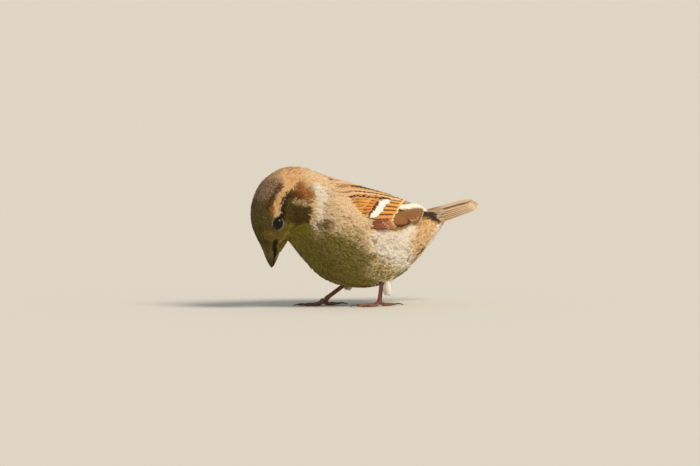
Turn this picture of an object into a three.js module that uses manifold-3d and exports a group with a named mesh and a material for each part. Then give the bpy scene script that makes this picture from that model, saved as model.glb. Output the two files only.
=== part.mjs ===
// A house sparrow, Passer domesticus, at life size: it stands on two flexed legs, leans forward
// and looks straight down at the ground between its feet, with its tail a little raised.
//
// Units are millimetres and +Z is up. The bird faces -X, so its left side is -Y.
// Lengths are set down from a point between the feet; ORIGIN_X then moves the whole bird so that
// the origin lies at the middle of its footprint, on the ground.
//
// The flesh with its coat is modelled whole and parted with thin cuts into head, neck and trunk.
// Bill, eyes, wings, tail, legs and claws are pieces of their own.

import * as THREE from "three";
import { mergeVertices } from "three/addons/utils/BufferGeometryUtils.js";
import Module from "manifold-3d";

const wasm = await Module();
wasm.setup();

// ---------------------------------------------------------------- driving dimensions

const ORIGIN_X = -11.08; // from the point between the feet to the middle of the footprint
const GAP = 0.3; // clearance between neighbouring pieces
const FAR = 200; // longer than the bird in every direction

// Rows of an outline in the plane of symmetry: a point on the upper side (x, z), the point
// opposite it on the lower side (x, z), and half the width there.
// "Upper" is the crown side on the head, which hangs with its bill down.
const HEAD_ROWS = [
  [-48.9, 32.6, -38.2, 31.4, 4.4], // feather edge at the bill
  [-51.0, 36.9, -35.2, 34.2, 7.4], // forehead and chin
  [-53.1, 41.7, -32.6, 38.4, 9.7], // eyes and throat
  [-54.0, 47.4, -30.2, 43.8, 11.2], // crown and cheeks
  [-53.6, 53.9, -28.6, 50.4, 11.8],
  [-51.0, 61.1, -28.4, 57.4, 11.5], // hind crown
  [-45.7, 67.8, -30.2, 63.8, 9.8],
  [-39.4, 71.2, -33.6, 68.4, 5.0], // ends inside the nape
];
const BODY_ROWS = [
  [-48.5, 49.0, -37.0, 41.5, 5.0], // starts inside the head
  [-46.6, 66.2, -35.0, 37.2, 9.8],
  [-39.2, 72.3, -33.2, 35.0, 11.6],
  [-30.6, 74.0, -30.8, 33.0, 13.3], // nape and throat
  [-20.8, 72.2, -26.8, 28.4, 16.2],
  [-10.8, 68.0, -20.0, 21.8, 19.3], // shoulders and breast
  [0.0, 64.9, -11.0, 13.8, 21.2],
  [12.0, 61.4, 2.0, 9.6, 21.8], // back and belly
  [24.0, 58.0, 16.0, 9.4, 20.5],
  [34.0, 54.6, 30.0, 14.9, 17.0], // rump and vent
  [42.5, 51.0, 42.0, 25.0, 12.8],
  [49.5, 48.6, 51.0, 34.0, 8.9], // coverts above and below the tail
  [55.5, 48.0, 57.0, 41.6, 5.4],
  [59.5, 48.2, 60.2, 46.4, 1.8],
];
const BODY_WIDEST = 0.52; // level of the widest point, as a share of the height
const HEAD_WIDEST = 0.5;
const FULLNESS = 2.15; // exponent of the rounded section: 2 is an ellipse

// Thin cuts, each through an upper and a lower point (x, z).
const NAPE_CUT = { top: [-22.0, 73.0], bottom: [-33.6, 31.0] };
const SHOULDER_CUT = { top: [-13.0, 73.0], bottom: [-24.0, 20.0] };

const EYE = { radius: 3.6, x: -43.8, y: 7.9, z: 44.8 };

const BILL = {
  base: [-42.8, 31.3], // middle of the feather edge, x and z
  tip: [-42.6, 21.4],
  culmen: 5.9, // height of the upper half at its base
  gonys: 5.4, // depth of the lower half at its base
  halfWidth: 4.0,
  gape: 4, // degrees that the halves stand open
};

// The closed wing's outer surface wraps the body: rows as above.
const WING_ROWS = [
  [-20.0, 72.4, -20.0, 22.0, 18.0],
  [-8.0, 68.6, -8.0, 14.0, 21.0],
  [4.0, 65.4, 4.0, 10.6, 22.7],
  [16.0, 62.0, 16.0, 9.4, 22.8],
  [28.0, 58.6, 28.0, 14.0, 20.2],
  [39.0, 55.9, 39.0, 22.6, 14.9],
  [50.0, 51.3, 50.0, 33.0, 9.6],
  [56.0, 48.8, 56.0, 40.0, 6.4],
];
// Edges of the wing patch from its lower edge to its upper one: where it starts and ends along X,
// and its angle round the body there, in degrees above the widest level.
const WING_EDGE = {
  start: [5.5, 2.0, -5.0, -12.0],
  end: [52.5, 48.5, 43.5, 39.0],
  startAngle: [4, 20, 45, 70],
  endAngle: [20, 30, 44, 60],
};
const WING_THICK = 2.4;
const WING_EDGE_THICK = 0.6;
const FEATHER_STEP = 0.25; // how far each long feather stands over the next

const TAIL = {
  root: [46.0, 44.7], // x and z of the middle of the root
  pitch: 14.6, // degrees above the horizontal
  roll: 6, // degrees that the left side hangs
  length: 31.2,
  rootWidth: 9.5,
  tipWidth: 17.0,
  featherWidth: 6.6,
  featherThick: 0.6,
  sideCount: 6, // feathers in each half
  fork: 1.2, // how much shorter the middle pair is
  rootDrop: 2.6, // how far the outer feathers lie under the middle pair
  tipDrop: 0.9,
};

// Each leg: heel and the joint above the toes, as x and z, at LEG_Y from the middle.
const LEG_Y = 10.0;
const LEGS = {
  left: { side: -1, knee: [17.5, 22.0], heel: [16.6, 15.5], ball: [15.0, 2.3] },
  right: { side: 1, knee: [6.0, 22.0], heel: [8.7, 12.7], ball: [-7.8, 2.3] },
};
const TARSUS = { depth: 1.15, width: 0.95, heel: 1.65, ball: 1.6 };
const TARSUS_END = 0.1; // its lower end, as a share of the way from the ball to the heel
const THIGH = { top: 6.4, bottom: 1.3, tuft: 8.5, behind: 3.2 };
// Toes as length without claw, radius, turn from straight ahead and claw length.
const TOES = {
  inner: { length: 9.0, radius: 0.95, turn: 27, claw: 4.4 },
  middle: { length: 12.5, radius: 1.05, turn: 0, claw: 4.8 },
  outer: { length: 9.3, radius: 0.95, turn: -24, claw: 4.4 },
  hind: { length: 8.2, radius: 1.1, turn: 178, claw: 6.4 },
};
const SOLE_LEVEL = 0.78; // height of a toe's middle, as a share of its radius

// ---------------------------------------------------------------- materials

const paint = (color, roughness) =>
  new THREE.MeshStandardMaterial({ color, roughness, metalness: 0 });
const MATERIALS = {
  hood: paint(0x8d7657, 0.9),
  breast: paint(0xb3a284, 0.9),
  wing: paint(0x9a6f42, 0.8),
  flight: paint(0x5b4636, 0.75),
  tail: paint(0x8c7764, 0.8),
  bill: paint(0x6b5a42, 0.45),
  eye: paint(0x120d0a, 0.1),
  leg: paint(0x8a5a48, 0.55),
  claw: paint(0x3a2c26, 0.4),
};

// ---------------------------------------------------------------- general helpers

const radians = THREE.MathUtils.degToRad;
const lerp = THREE.MathUtils.lerp;
const power = (value, exponent) =>
  Math.sign(value) * Math.abs(value) ** exponent;

// Turns a closed geometry into a solid, facing outwards whichever way its faces were wound.
function solid(geometry) {
  const bare = geometry.index ? geometry.toNonIndexed() : geometry.clone();
  const onlyPlaces = new THREE.BufferGeometry().setAttribute(
    "position",
    bare.getAttribute("position"),
  );
  const merged = mergeVertices(onlyPlaces, 1e-4);
  const build = (triVerts) =>
    new wasm.Manifold(
      new wasm.Mesh({
        numProp: 3,
        vertProperties: merged.attributes.position.array,
        triVerts,
      }),
    );
  const faces = Uint32Array.from(merged.index.array);
  const made = build(faces);
  if (made.volume() > 0) return made;
  const turned = faces.slice();
  for (let i = 0; i < turned.length; i += 3)
    [turned[i + 1], turned[i + 2]] = [turned[i + 2], turned[i + 1]];
  return build(turned);
}

function geometryOf(made) {
  const mesh = made.getMesh();
  const places = new Float32Array(mesh.numVert * 3);
  for (let i = 0; i < mesh.numVert; i++) {
    const first = i * mesh.numProp;
    places.set(mesh.vertProperties.subarray(first, first + 3), i * 3);
  }
  return new THREE.BufferGeometry()
    .setAttribute("position", new THREE.BufferAttribute(places, 3))
    .setIndex(new THREE.BufferAttribute(mesh.triVerts, 1));
}

// Keeps the largest closed body of a solid, dropping crumbs that a cut leaves.
function largest(made) {
  return made.decompose().sort((a, b) => b.volume() - a.volume())[0];
}

const bird = new THREE.Group();
bird.position.x = ORIGIN_X;

function addPiece(name, made, material) {
  const geometry = geometryOf(largest(made));
  geometry.computeVertexNormals();
  const mesh = new THREE.Mesh(geometry, material);
  mesh.name = name;
  bird.add(mesh);
}

// Closes a stack of equal rings, each an array of Vector3, into one geometry.
function skinOver(rings) {
  const around = rings[0].length;
  const places = rings.flat().flatMap((p) => [p.x, p.y, p.z]);
  const faces = [];
  for (let i = 0; i + 1 < rings.length; i++)
    for (let j = 0; j < around; j++) {
      const a = i * around + j;
      const b = i * around + ((j + 1) % around);
      faces.push(a, b, a + around, b, b + around, a + around);
    }
  for (const last of [false, true]) {
    const ring = rings[last ? rings.length - 1 : 0];
    const middle = ring
      .reduce((sum, p) => sum.add(p), new THREE.Vector3())
      .divideScalar(around);
    const hub = places.length / 3;
    places.push(middle.x, middle.y, middle.z);
    const first = last ? (rings.length - 1) * around : 0;
    for (let j = 0; j < around; j++) {
      const a = first + j;
      const b = first + ((j + 1) % around);
      faces.push(...(last ? [a, b, hub] : [b, a, hub]));
    }
  }
  return new THREE.BufferGeometry()
    .setAttribute("position", new THREE.Float32BufferAttribute(places, 3))
    .setIndex(faces);
}

// Smooth curves through the rows of an outline. at(t) gives the section there.
function outline(rows, widest) {
  const curve = (pick) => new THREE.CatmullRomCurve3(rows.map(pick));
  const upper = curve((r) => new THREE.Vector3(r[0], 0, r[1]));
  const lower = curve((r) => new THREE.Vector3(r[2], 0, r[3]));
  const width = curve((r, i) => new THREE.Vector3(i, r[4], 0));
  return {
    at(t) {
      const top = upper.getPoint(t);
      const bottom = lower.getPoint(t);
      const axis = top.clone().sub(bottom);
      const height = axis.length();
      axis.divideScalar(height);
      const centre = bottom.clone().addScaledVector(axis, height * widest);
      return {
        centre,
        axis,
        up: height * (1 - widest),
        down: height * widest,
        halfWidth: width.getPoint(t).y,
      };
    },
  };
}

// A point of a section, by its angle above the widest level on the +Y side, grown outwards.
function sectionPoint(section, angle, grow = 0) {
  const rise = power(Math.sin(angle), 2 / FULLNESS);
  const reach = power(Math.cos(angle), 2 / FULLNESS);
  const height = (rise > 0 ? section.up : section.down) + grow;
  return section.centre
    .clone()
    .addScaledVector(section.axis, rise * height)
    .add(new THREE.Vector3(0, reach * (section.halfWidth + grow), 0));
}

function loft(shape, steps, around, grow = 0) {
  const rings = [];
  for (let i = 0; i <= steps; i++) {
    const section = shape.at(i / steps);
    const ring = [];
    for (let j = 0; j < around; j++)
      ring.push(sectionPoint(section, (2 * Math.PI * j) / around, grow));
    rings.push(ring);
  }
  return solid(skinOver(rings));
}

// A round rod through points with a radius at each, flattened sideways by a share.
function rod(points, radii, around, flatten = 1) {
  const rings = points.map((point, i) => {
    const before = points[Math.max(i - 1, 0)];
    const after = points[Math.min(i + 1, points.length - 1)];
    const along = after.clone().sub(before).normalize();
    const side = new THREE.Vector3(0, 0, 1).cross(along);
    if (side.length() < 1e-3) side.set(0, 1, 0);
    side.normalize();
    const up = along.clone().cross(side);
    const ring = [];
    for (let j = 0; j < around; j++) {
      const angle = (2 * Math.PI * j) / around;
      ring.push(
        point
          .clone()
          .addScaledVector(side, Math.cos(angle) * radii[i] * flatten)
          .addScaledVector(up, Math.sin(angle) * radii[i]),
      );
    }
    return ring;
  });
  return solid(skinOver(rings));
}

// Everything on one side of a thin cut: side 1 is towards the tail, -1 towards the bill.
function beyond(cut, side, shift) {
  const [topX, topZ] = cut.top;
  const [bottomX, bottomZ] = cut.bottom;
  const slope = (topX - bottomX) / (topZ - bottomZ);
  const xAt = (z) => bottomX + slope * (z - bottomZ) + shift;
  const shape = new THREE.Shape([
    new THREE.Vector2(xAt(-FAR), -FAR),
    new THREE.Vector2(xAt(FAR), FAR),
    new THREE.Vector2(xAt(FAR) + side * 3 * FAR, FAR),
    new THREE.Vector2(xAt(-FAR) + side * 3 * FAR, -FAR),
  ]);
  const block = new THREE.ExtrudeGeometry(shape, {
    depth: 2 * FAR,
    bevelEnabled: false,
  });
  // Shape X, Y and depth become X, Z and -Y.
  block.rotateX(Math.PI / 2).translate(0, FAR, 0);
  return solid(block);
}

const ball = (radius, x, y, z) =>
  solid(new THREE.SphereGeometry(radius, 14, 9).translate(x, y, z));

const BOTH_SIDES = { left: -1, right: 1 };

// ---------------------------------------------------------------- head, neck and trunk

const bodyOutline = outline(BODY_ROWS, BODY_WIDEST);
const headOutline = outline(HEAD_ROWS, HEAD_WIDEST);

function wholeBody(grow = 0) {
  const body = loft(bodyOutline, 24, 22, grow);
  const head = loft(headOutline, 11, 20, grow);
  return body.add(head);
}

function makeHead(whole) {
  let head = whole.subtract(beyond(NAPE_CUT, 1, -GAP / 2));
  for (const side of Object.values(BOTH_SIDES))
    head = head.subtract(ball(EYE.radius + GAP, EYE.x, side * EYE.y, EYE.z));
  addPiece("head", head, MATERIALS.hood);
}

function makeNeck(whole) {
  const neck = whole
    .subtract(beyond(NAPE_CUT, -1, GAP / 2))
    .subtract(beyond(SHOULDER_CUT, 1, -GAP / 2));
  addPiece("neck", neck, MATERIALS.hood);
}

function makeTrunk(whole) {
  let trunk = whole.subtract(beyond(SHOULDER_CUT, -1, GAP / 2));
  for (const side of Object.values(BOTH_SIDES))
    trunk = trunk.subtract(wingPocket(side));
  trunk = trunk.subtract(tailSolid(GAP));
  for (const leg of Object.values(LEGS))
    trunk = trunk.subtract(tarsusSleeve(leg, 1.2, 0.4));
  addPiece("trunk", trunk, MATERIALS.breast);
}

// ---------------------------------------------------------------- eyes and bill

function makeEyes() {
  for (const [name, side] of Object.entries(BOTH_SIDES))
    addPiece(
      "eye_" + name,
      ball(EYE.radius, EYE.x, side * EYE.y, EYE.z),
      MATERIALS.eye,
    );
}

// One half of the bill: up is 1 for the upper half, whose ridge is bowed, and -1 for the lower.
function billHalf(up) {
  const base = new THREE.Vector3(BILL.base[0], 0, BILL.base[1]);
  const tip = new THREE.Vector3(BILL.tip[0], 0, BILL.tip[1]);
  const along = tip.clone().sub(base);
  const length = along.length() * (up > 0 ? 1 : 0.95);
  along.normalize();
  const dorsal = new THREE.Vector3(along.z, 0, -along.x); // towards the ridge
  const height = up > 0 ? BILL.culmen : BILL.gonys;
  const bow = up > 0 ? 0.78 : 0.9; // below 1 the ridge is convex
  const steps = 9;
  const halfRing = 6;
  const rings = [];
  for (let i = 0; i <= steps; i++) {
    const share = i / steps;
    const taper = (1 - share) ** bow * 0.97 + 0.03;
    const opening = Math.tan(radians(BILL.gape / 2)) * (length - share * length);
    const rest = GAP / 2 + Math.max(0, opening * 0.25);
    const middle = base
      .clone()
      .addScaledVector(along, GAP + share * length)
      .addScaledVector(dorsal, up * rest);
    const width = BILL.halfWidth * ((1 - share) ** 0.8 * 0.96 + 0.04);
    const ring = [];
    for (let j = 0; j <= halfRing; j++) {
      const angle = (Math.PI * j) / halfRing;
      ring.push(
        middle
          .clone()
          .addScaledVector(dorsal, up * Math.sin(angle) ** 0.9 * height * taper)
          .add(new THREE.Vector3(0, Math.cos(angle) * width, 0)),
      );
    }
    rings.push(ring);
  }
  return solid(skinOver(rings));
}

function makeBill() {
  addPiece("bill_upper", billHalf(1), MATERIALS.bill);
  addPiece("bill_lower", billHalf(-1), MATERIALS.bill);
}

// ---------------------------------------------------------------- wings

const wingOutline = outline(WING_ROWS, BODY_WIDEST);
const wingEdges = Object.fromEntries(
  Object.entries(WING_EDGE).map(([key, values]) => [
    key,
    new THREE.SplineCurve(values.map((v, i) => new THREE.Vector2(i, v))),
  ]),
);
const edgeAt = (key, across) => wingEdges[key].getPoint(across).y;

// The share along WING_ROWS at which the outline's upper point stands at x.
function wingRowAt(x) {
  let low = 0;
  let high = 1;
  for (let i = 0; i < 24; i++) {
    const middle = (low + high) / 2;
    if (wingOutline.at(middle).centre.x < x) low = middle;
    else high = middle;
  }
  return (low + high) / 2;
}

// A point of the wing on the +Y side. along runs from its front to its tip, across from its
// lower edge to its upper one, and sink is how far the point lies under the outer surface.
function wingPoint(along, across, sink) {
  const within = THREE.MathUtils.clamp(across, 0, 1);
  const over = across - within;
  const x = lerp(edgeAt("start", within), edgeAt("end", within), along);
  const angle =
    lerp(edgeAt("startAngle", within), edgeAt("endAngle", within), along) +
    over * 60;
  return sectionPoint(wingOutline.at(wingRowAt(x)), radians(angle), -sink);
}

// A patch of the wing as a closed plate. Feathers lie side by side across it, each standing
// over the one below it by a step.
function wingPlate(side, from, to, featherCount, options = {}) {
  const { steps = 5, grow = 0, lift = 0 } = options;
  const perFeather = featherCount > 0 ? 2 : 1;
  const acrossSteps = featherCount > 0 ? featherCount * perFeather : 9;
  const ringOf = (i) => {
    const along = lerp(from.along, to.along, i / steps);
    const outer = [];
    const inner = [];
    for (let j = 0; j <= acrossSteps; j++) {
      const across = lerp(from.across, to.across, j / acrossSteps);
      const held = THREE.MathUtils.clamp(across, 0, 1);
      const held2 = THREE.MathUtils.clamp(along, 0, 1);
      const belly = Math.sqrt(Math.sin(Math.PI * lerp(0.08, 0.92, held)));
      const thin = 1 - 0.65 * held2 ** 2;
      const thick = lerp(WING_EDGE_THICK, WING_THICK, belly * thin);
      const step =
        featherCount > 0 && j % perFeather > 0 ? FEATHER_STEP : 0;
      outer.push(wingPoint(along, across, step - lift));
      inner.push(wingPoint(along, across, thick + grow));
    }
    const ring = [...outer, ...inner.reverse()];
    for (const p of ring) p.y *= side;
    return ring;
  };
  const rings = [];
  for (let i = 0; i <= steps; i++) rings.push(ringOf(i));
  return solid(skinOver(rings));
}

// The bed that a wing lies in: a little wider, deeper and open outwards.
function wingPocket(side) {
  const edge = 0.035;
  return wingPlate(
    side,
    { along: -edge, across: -edge },
    { along: 1 + edge, across: 1 + edge },
    0,
    { steps: 8, grow: GAP + 0.55, lift: 6 },
  );
}

const PART_GAP = 0.008; // half the clearance between two parts of a wing, as a share of it
const COVERTS_END = 0.47;
const TERTIALS_START = 0.52;
const WING_PARTS = {
  coverts: {
    from: { along: 0, across: 0 },
    to: { along: COVERTS_END - PART_GAP, across: 1 },
    feathers: 9,
    material: "wing",
  },
  tertials: {
    from: { along: COVERTS_END + PART_GAP, across: TERTIALS_START + PART_GAP },
    to: { along: 1, across: 1 },
    feathers: 3,
    material: "wing",
  },
  flight: {
    from: { along: COVERTS_END + PART_GAP, across: 0 },
    to: { along: 1, across: TERTIALS_START - PART_GAP },
    feathers: 6,
    material: "flight",
  },
};

function makeWings() {
  for (const [name, side] of Object.entries(BOTH_SIDES))
    for (const [part, spec] of Object.entries(WING_PARTS))
      addPiece(
        "wing_" + name + "_" + part,
        wingPlate(side, spec.from, spec.to, spec.feathers),
        MATERIALS[spec.material],
      );
}

// ---------------------------------------------------------------- tail

// One tail feather as a flat blade with a rounded tip, in the tail's own frame: X along it.
// root and tip are the places of its middle, as y and height.
function tailFeather(length, root, tip, grow) {
  const half = TAIL.featherWidth / 2 + grow;
  const shape = new THREE.Shape();
  shape.moveTo(-grow, -half * 0.75);
  shape.lineTo(length - half, -half);
  shape.quadraticCurveTo(length + grow, -half, length + grow, 0);
  shape.quadraticCurveTo(length + grow, half, length - half, half);
  shape.lineTo(-grow, half * 0.75);
  const blade = new THREE.ExtrudeGeometry(shape, {
    depth: TAIL.featherThick + 2 * grow,
    bevelEnabled: false,
    curveSegments: 3,
  });
  blade.translate(0, 0, -grow);
  blade.rotateY(-Math.atan2(tip[1] - root[1], length));
  blade.rotateZ(Math.atan2(tip[0] - root[0], length));
  blade.translate(0, root[0], root[1]);
  return solid(blade);
}

function tailSolid(grow = 0) {
  let tail = null;
  for (const side of [-1, 1])
    for (let i = 0; i < TAIL.sideCount; i++) {
      const out = (i + 0.5) / TAIL.sideCount;
      const across = (width) => side * out * (width - TAIL.featherWidth) * 0.5;
      const above = side > 0 ? 0.17 : 0; // the right half lies over the left at the middle
      const feather = tailFeather(
        TAIL.length - TAIL.fork * (1 - out),
        [across(TAIL.rootWidth), above - TAIL.rootDrop * out],
        [across(TAIL.tipWidth), above - TAIL.tipDrop * out],
        grow,
      );
      tail = tail ? tail.add(feather) : feather;
    }
  const place = new THREE.Matrix4()
    .makeTranslation(TAIL.root[0], 0, TAIL.root[1])
    .multiply(new THREE.Matrix4().makeRotationY(-radians(TAIL.pitch)))
    .multiply(new THREE.Matrix4().makeRotationX(radians(TAIL.roll)));
  return tail.transform(place.elements);
}

function makeTail() {
  addPiece("tail", tailSolid(), MATERIALS.tail);
}

// ---------------------------------------------------------------- legs and feet

const onLeg = (leg, [x, z]) => new THREE.Vector3(x, leg.side * LEG_Y, z);

// The feathered thigh comes out of the belly and ends in a loose tuft behind the tarsus.
function thighSolid(leg, bodyGrown) {
  const top = onLeg(leg, leg.knee);
  const heel = onLeg(leg, leg.heel);
  const away = heel.clone().sub(onLeg(leg, leg.ball)).normalize();
  const shares = [0, 0.3, 0.55, 0.75, 0.9, 1];
  const points = shares.map((s) =>
    top
      .clone()
      .lerp(heel, s)
      .addScaledVector(away, -THIGH.tuft * s * s)
      .add(new THREE.Vector3(THIGH.behind * s, 0, 0)),
  );
  const radii = shares.map((s) => lerp(THIGH.bottom, THIGH.top, (1 - s) ** 0.8));
  return rod(points, radii, 12)
    .subtract(bodyGrown)
    .subtract(tarsusSleeve(leg, 1.2, 0.5));
}

// The bare tarsus, with a knob at the heel and one above the toes. Shares run up from the ball.
function tarsusSolid(leg) {
  const heel = onLeg(leg, leg.heel);
  const ballPoint = onLeg(leg, leg.ball);
  const shares = [TARSUS_END, 0.16, 0.3, 0.7, 0.85, 0.94, 1, 1.06];
  const radii = [0.8, 0.76, 0.7, 0.72, 0.78, 0.95, 1, 0.8].map(
    (r) => r * TARSUS.heel,
  );
  const points = shares.map((s) => ballPoint.clone().lerp(heel, s));
  return rod(points, radii, 10, TARSUS.width / TARSUS.depth);
}

// A toe from the ball of the foot: it comes down to the ground and swells at each pad.
function toePath(leg, toe) {
  const start = onLeg(leg, leg.ball);
  const turn = radians(180 + toe.turn * leg.side);
  const ahead = new THREE.Vector3(Math.cos(turn), Math.sin(turn), 0);
  const level = toe.radius * SOLE_LEVEL;
  return {
    ahead,
    level,
    at: (s) =>
      start
        .clone()
        .addScaledVector(ahead, s * toe.length)
        .setZ(lerp(start.z, level, THREE.MathUtils.smoothstep(s, 0, 0.3))),
  };
}

function toeSolid(leg, toe) {
  const path = toePath(leg, toe);
  const steps = 6;
  const points = [];
  const radii = [];
  for (let i = 0; i <= steps; i++) {
    const share = i / steps;
    points.push(path.at(share));
    const pad = 1 + 0.1 * Math.cos(share * 3 * 2 * Math.PI);
    const taper = 1 - 0.28 * share;
    radii.push(toe.radius * pad * taper * (i === steps ? 0.8 : 1));
  }
  return rod(points, radii, 7);
}

function clawSolid(leg, toe) {
  const path = toePath(leg, toe);
  const root = path.at(1);
  const steps = 4;
  const points = [];
  const radii = [];
  for (let i = 0; i <= steps; i++) {
    const share = i / steps;
    const rise = 0.35 * Math.sin(Math.PI * share) - 0.42 * share ** 2;
    points.push(
      root
        .clone()
        .addScaledVector(path.ahead, GAP + share * toe.claw * 0.93)
        .setZ(toe.radius * 0.72 + rise),
    );
    radii.push(lerp(toe.radius * 0.55, 0.24, share ** 0.8));
  }
  return rod(points, radii, 6, 0.85);
}

// Everything below the ground, cut away so that the toes stand on flats.
const ground = solid(
  new THREE.BoxGeometry(2 * FAR, 2 * FAR, FAR).translate(0, 0, -FAR / 2),
);

function footSolid(leg) {
  const ballPoint = onLeg(leg, leg.ball);
  let foot = solid(
    new THREE.SphereGeometry(TARSUS.ball, 10, 7).translate(...ballPoint),
  );
  for (const toe of Object.values(TOES)) foot = foot.add(toeSolid(leg, toe));
  return foot.subtract(ground).subtract(tarsusSleeve(leg, 0.5, TARSUS_END));
}

// Room for the tarsus between two shares of its way from the ball up to the heel.
function tarsusSleeve(leg, from, to) {
  const heel = onLeg(leg, leg.heel);
  const ballPoint = onLeg(leg, leg.ball);
  const length = heel.distanceTo(ballPoint);
  const shares = [from + GAP / length, to - GAP / length];
  const points = shares.map((s) => ballPoint.clone().lerp(heel, s));
  const radius = TARSUS.heel + GAP;
  return rod(points, [radius, radius], 12);
}

function makeLegs() {
  const bodyGrown = wholeBody(GAP);
  for (const [name, leg] of Object.entries(LEGS)) {
    addPiece("thigh_" + name, thighSolid(leg, bodyGrown), MATERIALS.breast);
    addPiece("tarsus_" + name, tarsusSolid(leg), MATERIALS.leg);
    addPiece("foot_" + name, footSolid(leg), MATERIALS.leg);
    for (const [toeName, toe] of Object.entries(TOES))
      addPiece(
        "claw_" + name + "_" + toeName,
        clawSolid(leg, toe).subtract(ground),
        MATERIALS.claw,
      );
  }
}

// ---------------------------------------------------------------- the whole bird

const whole = wholeBody();
makeHead(whole);
makeNeck(whole);
makeTrunk(whole);
makeEyes();
makeBill();
makeWings();
makeTail();
makeLegs();

export default bird;
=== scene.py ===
# %% [markdown]
# # A house sparrow, life size
#
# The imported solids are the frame: they hold the bird's outline out to the feather tips.
# This script clothes that frame. One skin replaces the solids of flesh and lies inside them, by
# the depth of the coat, and every feather is a closed vane of mesh laid over it.
# The bird faces -X, its left side is -Y and +Z is up.

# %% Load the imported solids
import math

import bpy
import bmesh
import numpy as np
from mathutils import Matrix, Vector, noise
from mathutils.bvhtree import BVHTree


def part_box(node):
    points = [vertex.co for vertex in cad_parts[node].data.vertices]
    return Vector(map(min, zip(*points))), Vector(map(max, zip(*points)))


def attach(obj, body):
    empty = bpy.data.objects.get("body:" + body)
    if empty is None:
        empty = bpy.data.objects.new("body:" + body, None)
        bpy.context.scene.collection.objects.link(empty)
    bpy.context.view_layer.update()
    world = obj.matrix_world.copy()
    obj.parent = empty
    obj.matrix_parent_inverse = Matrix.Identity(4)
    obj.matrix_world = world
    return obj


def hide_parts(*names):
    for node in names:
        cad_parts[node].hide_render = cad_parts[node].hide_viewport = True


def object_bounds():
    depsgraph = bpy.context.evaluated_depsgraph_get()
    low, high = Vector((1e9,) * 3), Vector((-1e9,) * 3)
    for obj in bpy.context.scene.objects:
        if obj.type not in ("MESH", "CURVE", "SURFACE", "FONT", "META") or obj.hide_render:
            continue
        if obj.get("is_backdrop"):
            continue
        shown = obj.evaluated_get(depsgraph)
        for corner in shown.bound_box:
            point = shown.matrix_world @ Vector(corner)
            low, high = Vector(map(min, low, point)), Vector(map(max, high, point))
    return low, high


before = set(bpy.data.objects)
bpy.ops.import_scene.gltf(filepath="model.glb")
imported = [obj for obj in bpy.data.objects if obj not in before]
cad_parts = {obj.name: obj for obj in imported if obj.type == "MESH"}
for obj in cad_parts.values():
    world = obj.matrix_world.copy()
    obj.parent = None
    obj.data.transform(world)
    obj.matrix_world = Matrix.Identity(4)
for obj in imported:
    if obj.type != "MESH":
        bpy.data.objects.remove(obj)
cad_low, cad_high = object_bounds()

print("solids span", [round(v * 1000, 1) for v in (cad_high - cad_low)], "mm")

# %% [markdown]
# ## Millimetres on the bird
#
# A bird is easier to describe in millimetres from the point between its feet than in metres from
# the frame's origin. The left eye is a landmark that both share, 43.8 mm ahead of that point, so
# one shift takes lengths on the bird to places in the frame.

# %% Lengths on the bird and places in the frame
MM = 0.001
EYE = np.array([-43.8, 7.9, 44.8])  # middle of an eyeball; the right one has +Y
eye_low, eye_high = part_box("eye_left")
SHIFT = np.array([(eye_low.x + eye_high.x) / 2 - EYE[0] * MM, 0.0, 0.0])


def to_frame(points):
    """Takes millimetres on the bird to metres in the frame."""
    return np.asarray(points, float) * MM + SHIFT


def on_bird(points):
    """Takes metres in the frame to millimetres on the bird."""
    return (np.asarray(points, float) - SHIFT) / MM


def smooth(low, high, value):
    """Rises smoothly from 0 at low to 1 at high."""
    t = np.clip((np.asarray(value, float) - low) / (high - low), 0, 1)
    return t * t * (3 - 2 * t)


def unit(vectors):
    """Scales each row to length 1."""
    vectors = np.asarray(vectors, float)
    length = np.linalg.norm(vectors, axis=-1, keepdims=True)
    return vectors / np.maximum(length, 1e-9)


print("shift", np.round(SHIFT * 1000, 2))

# %% [markdown]
# ## Colour helpers
#
# Plumage colours are written as they are seen, in sRGB, and one function turns them to the linear
# values that shaders work in.

# %% Colours
def linear(hex_colour):
    """Turns an sRGB hex colour into linear red, green, blue and alpha."""
    parts = [int(hex_colour[i : i + 2], 16) / 255 for i in (1, 3, 5)]
    bent = [c / 12.92 if c <= 0.04045 else ((c + 0.055) / 1.055) ** 2.4 for c in parts]
    return np.array([*bent, 1.0])


def blend(under, over, amount):
    """Lays one colour over another; amount is 0 to 1 at each point."""
    amount = np.asarray(amount, float)[..., None]
    return under * (1 - amount) + over * amount


print("sRGB #808080 is", linear("#808080")[0].round(3), "in linear light")

# %% [markdown]
# ## Mesh helpers
#
# Most pieces are arrays of points and faces. One function makes a mesh object of them, with its
# place in its mesh, and stores what the materials need as attributes.

# %% Make an object from arrays
def store(mesh, name, kind, values):
    """Stores one attribute at a mesh's points."""
    if name in mesh.attributes:
        mesh.attributes.remove(mesh.attributes[name])
    layer = mesh.attributes.new(name, kind, "POINT")
    field = "color" if "COLOR" in kind else "vector" if "VECTOR" in kind else "value"
    layer.data.foreach_set(field, np.asarray(values, np.float32).ravel())


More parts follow.
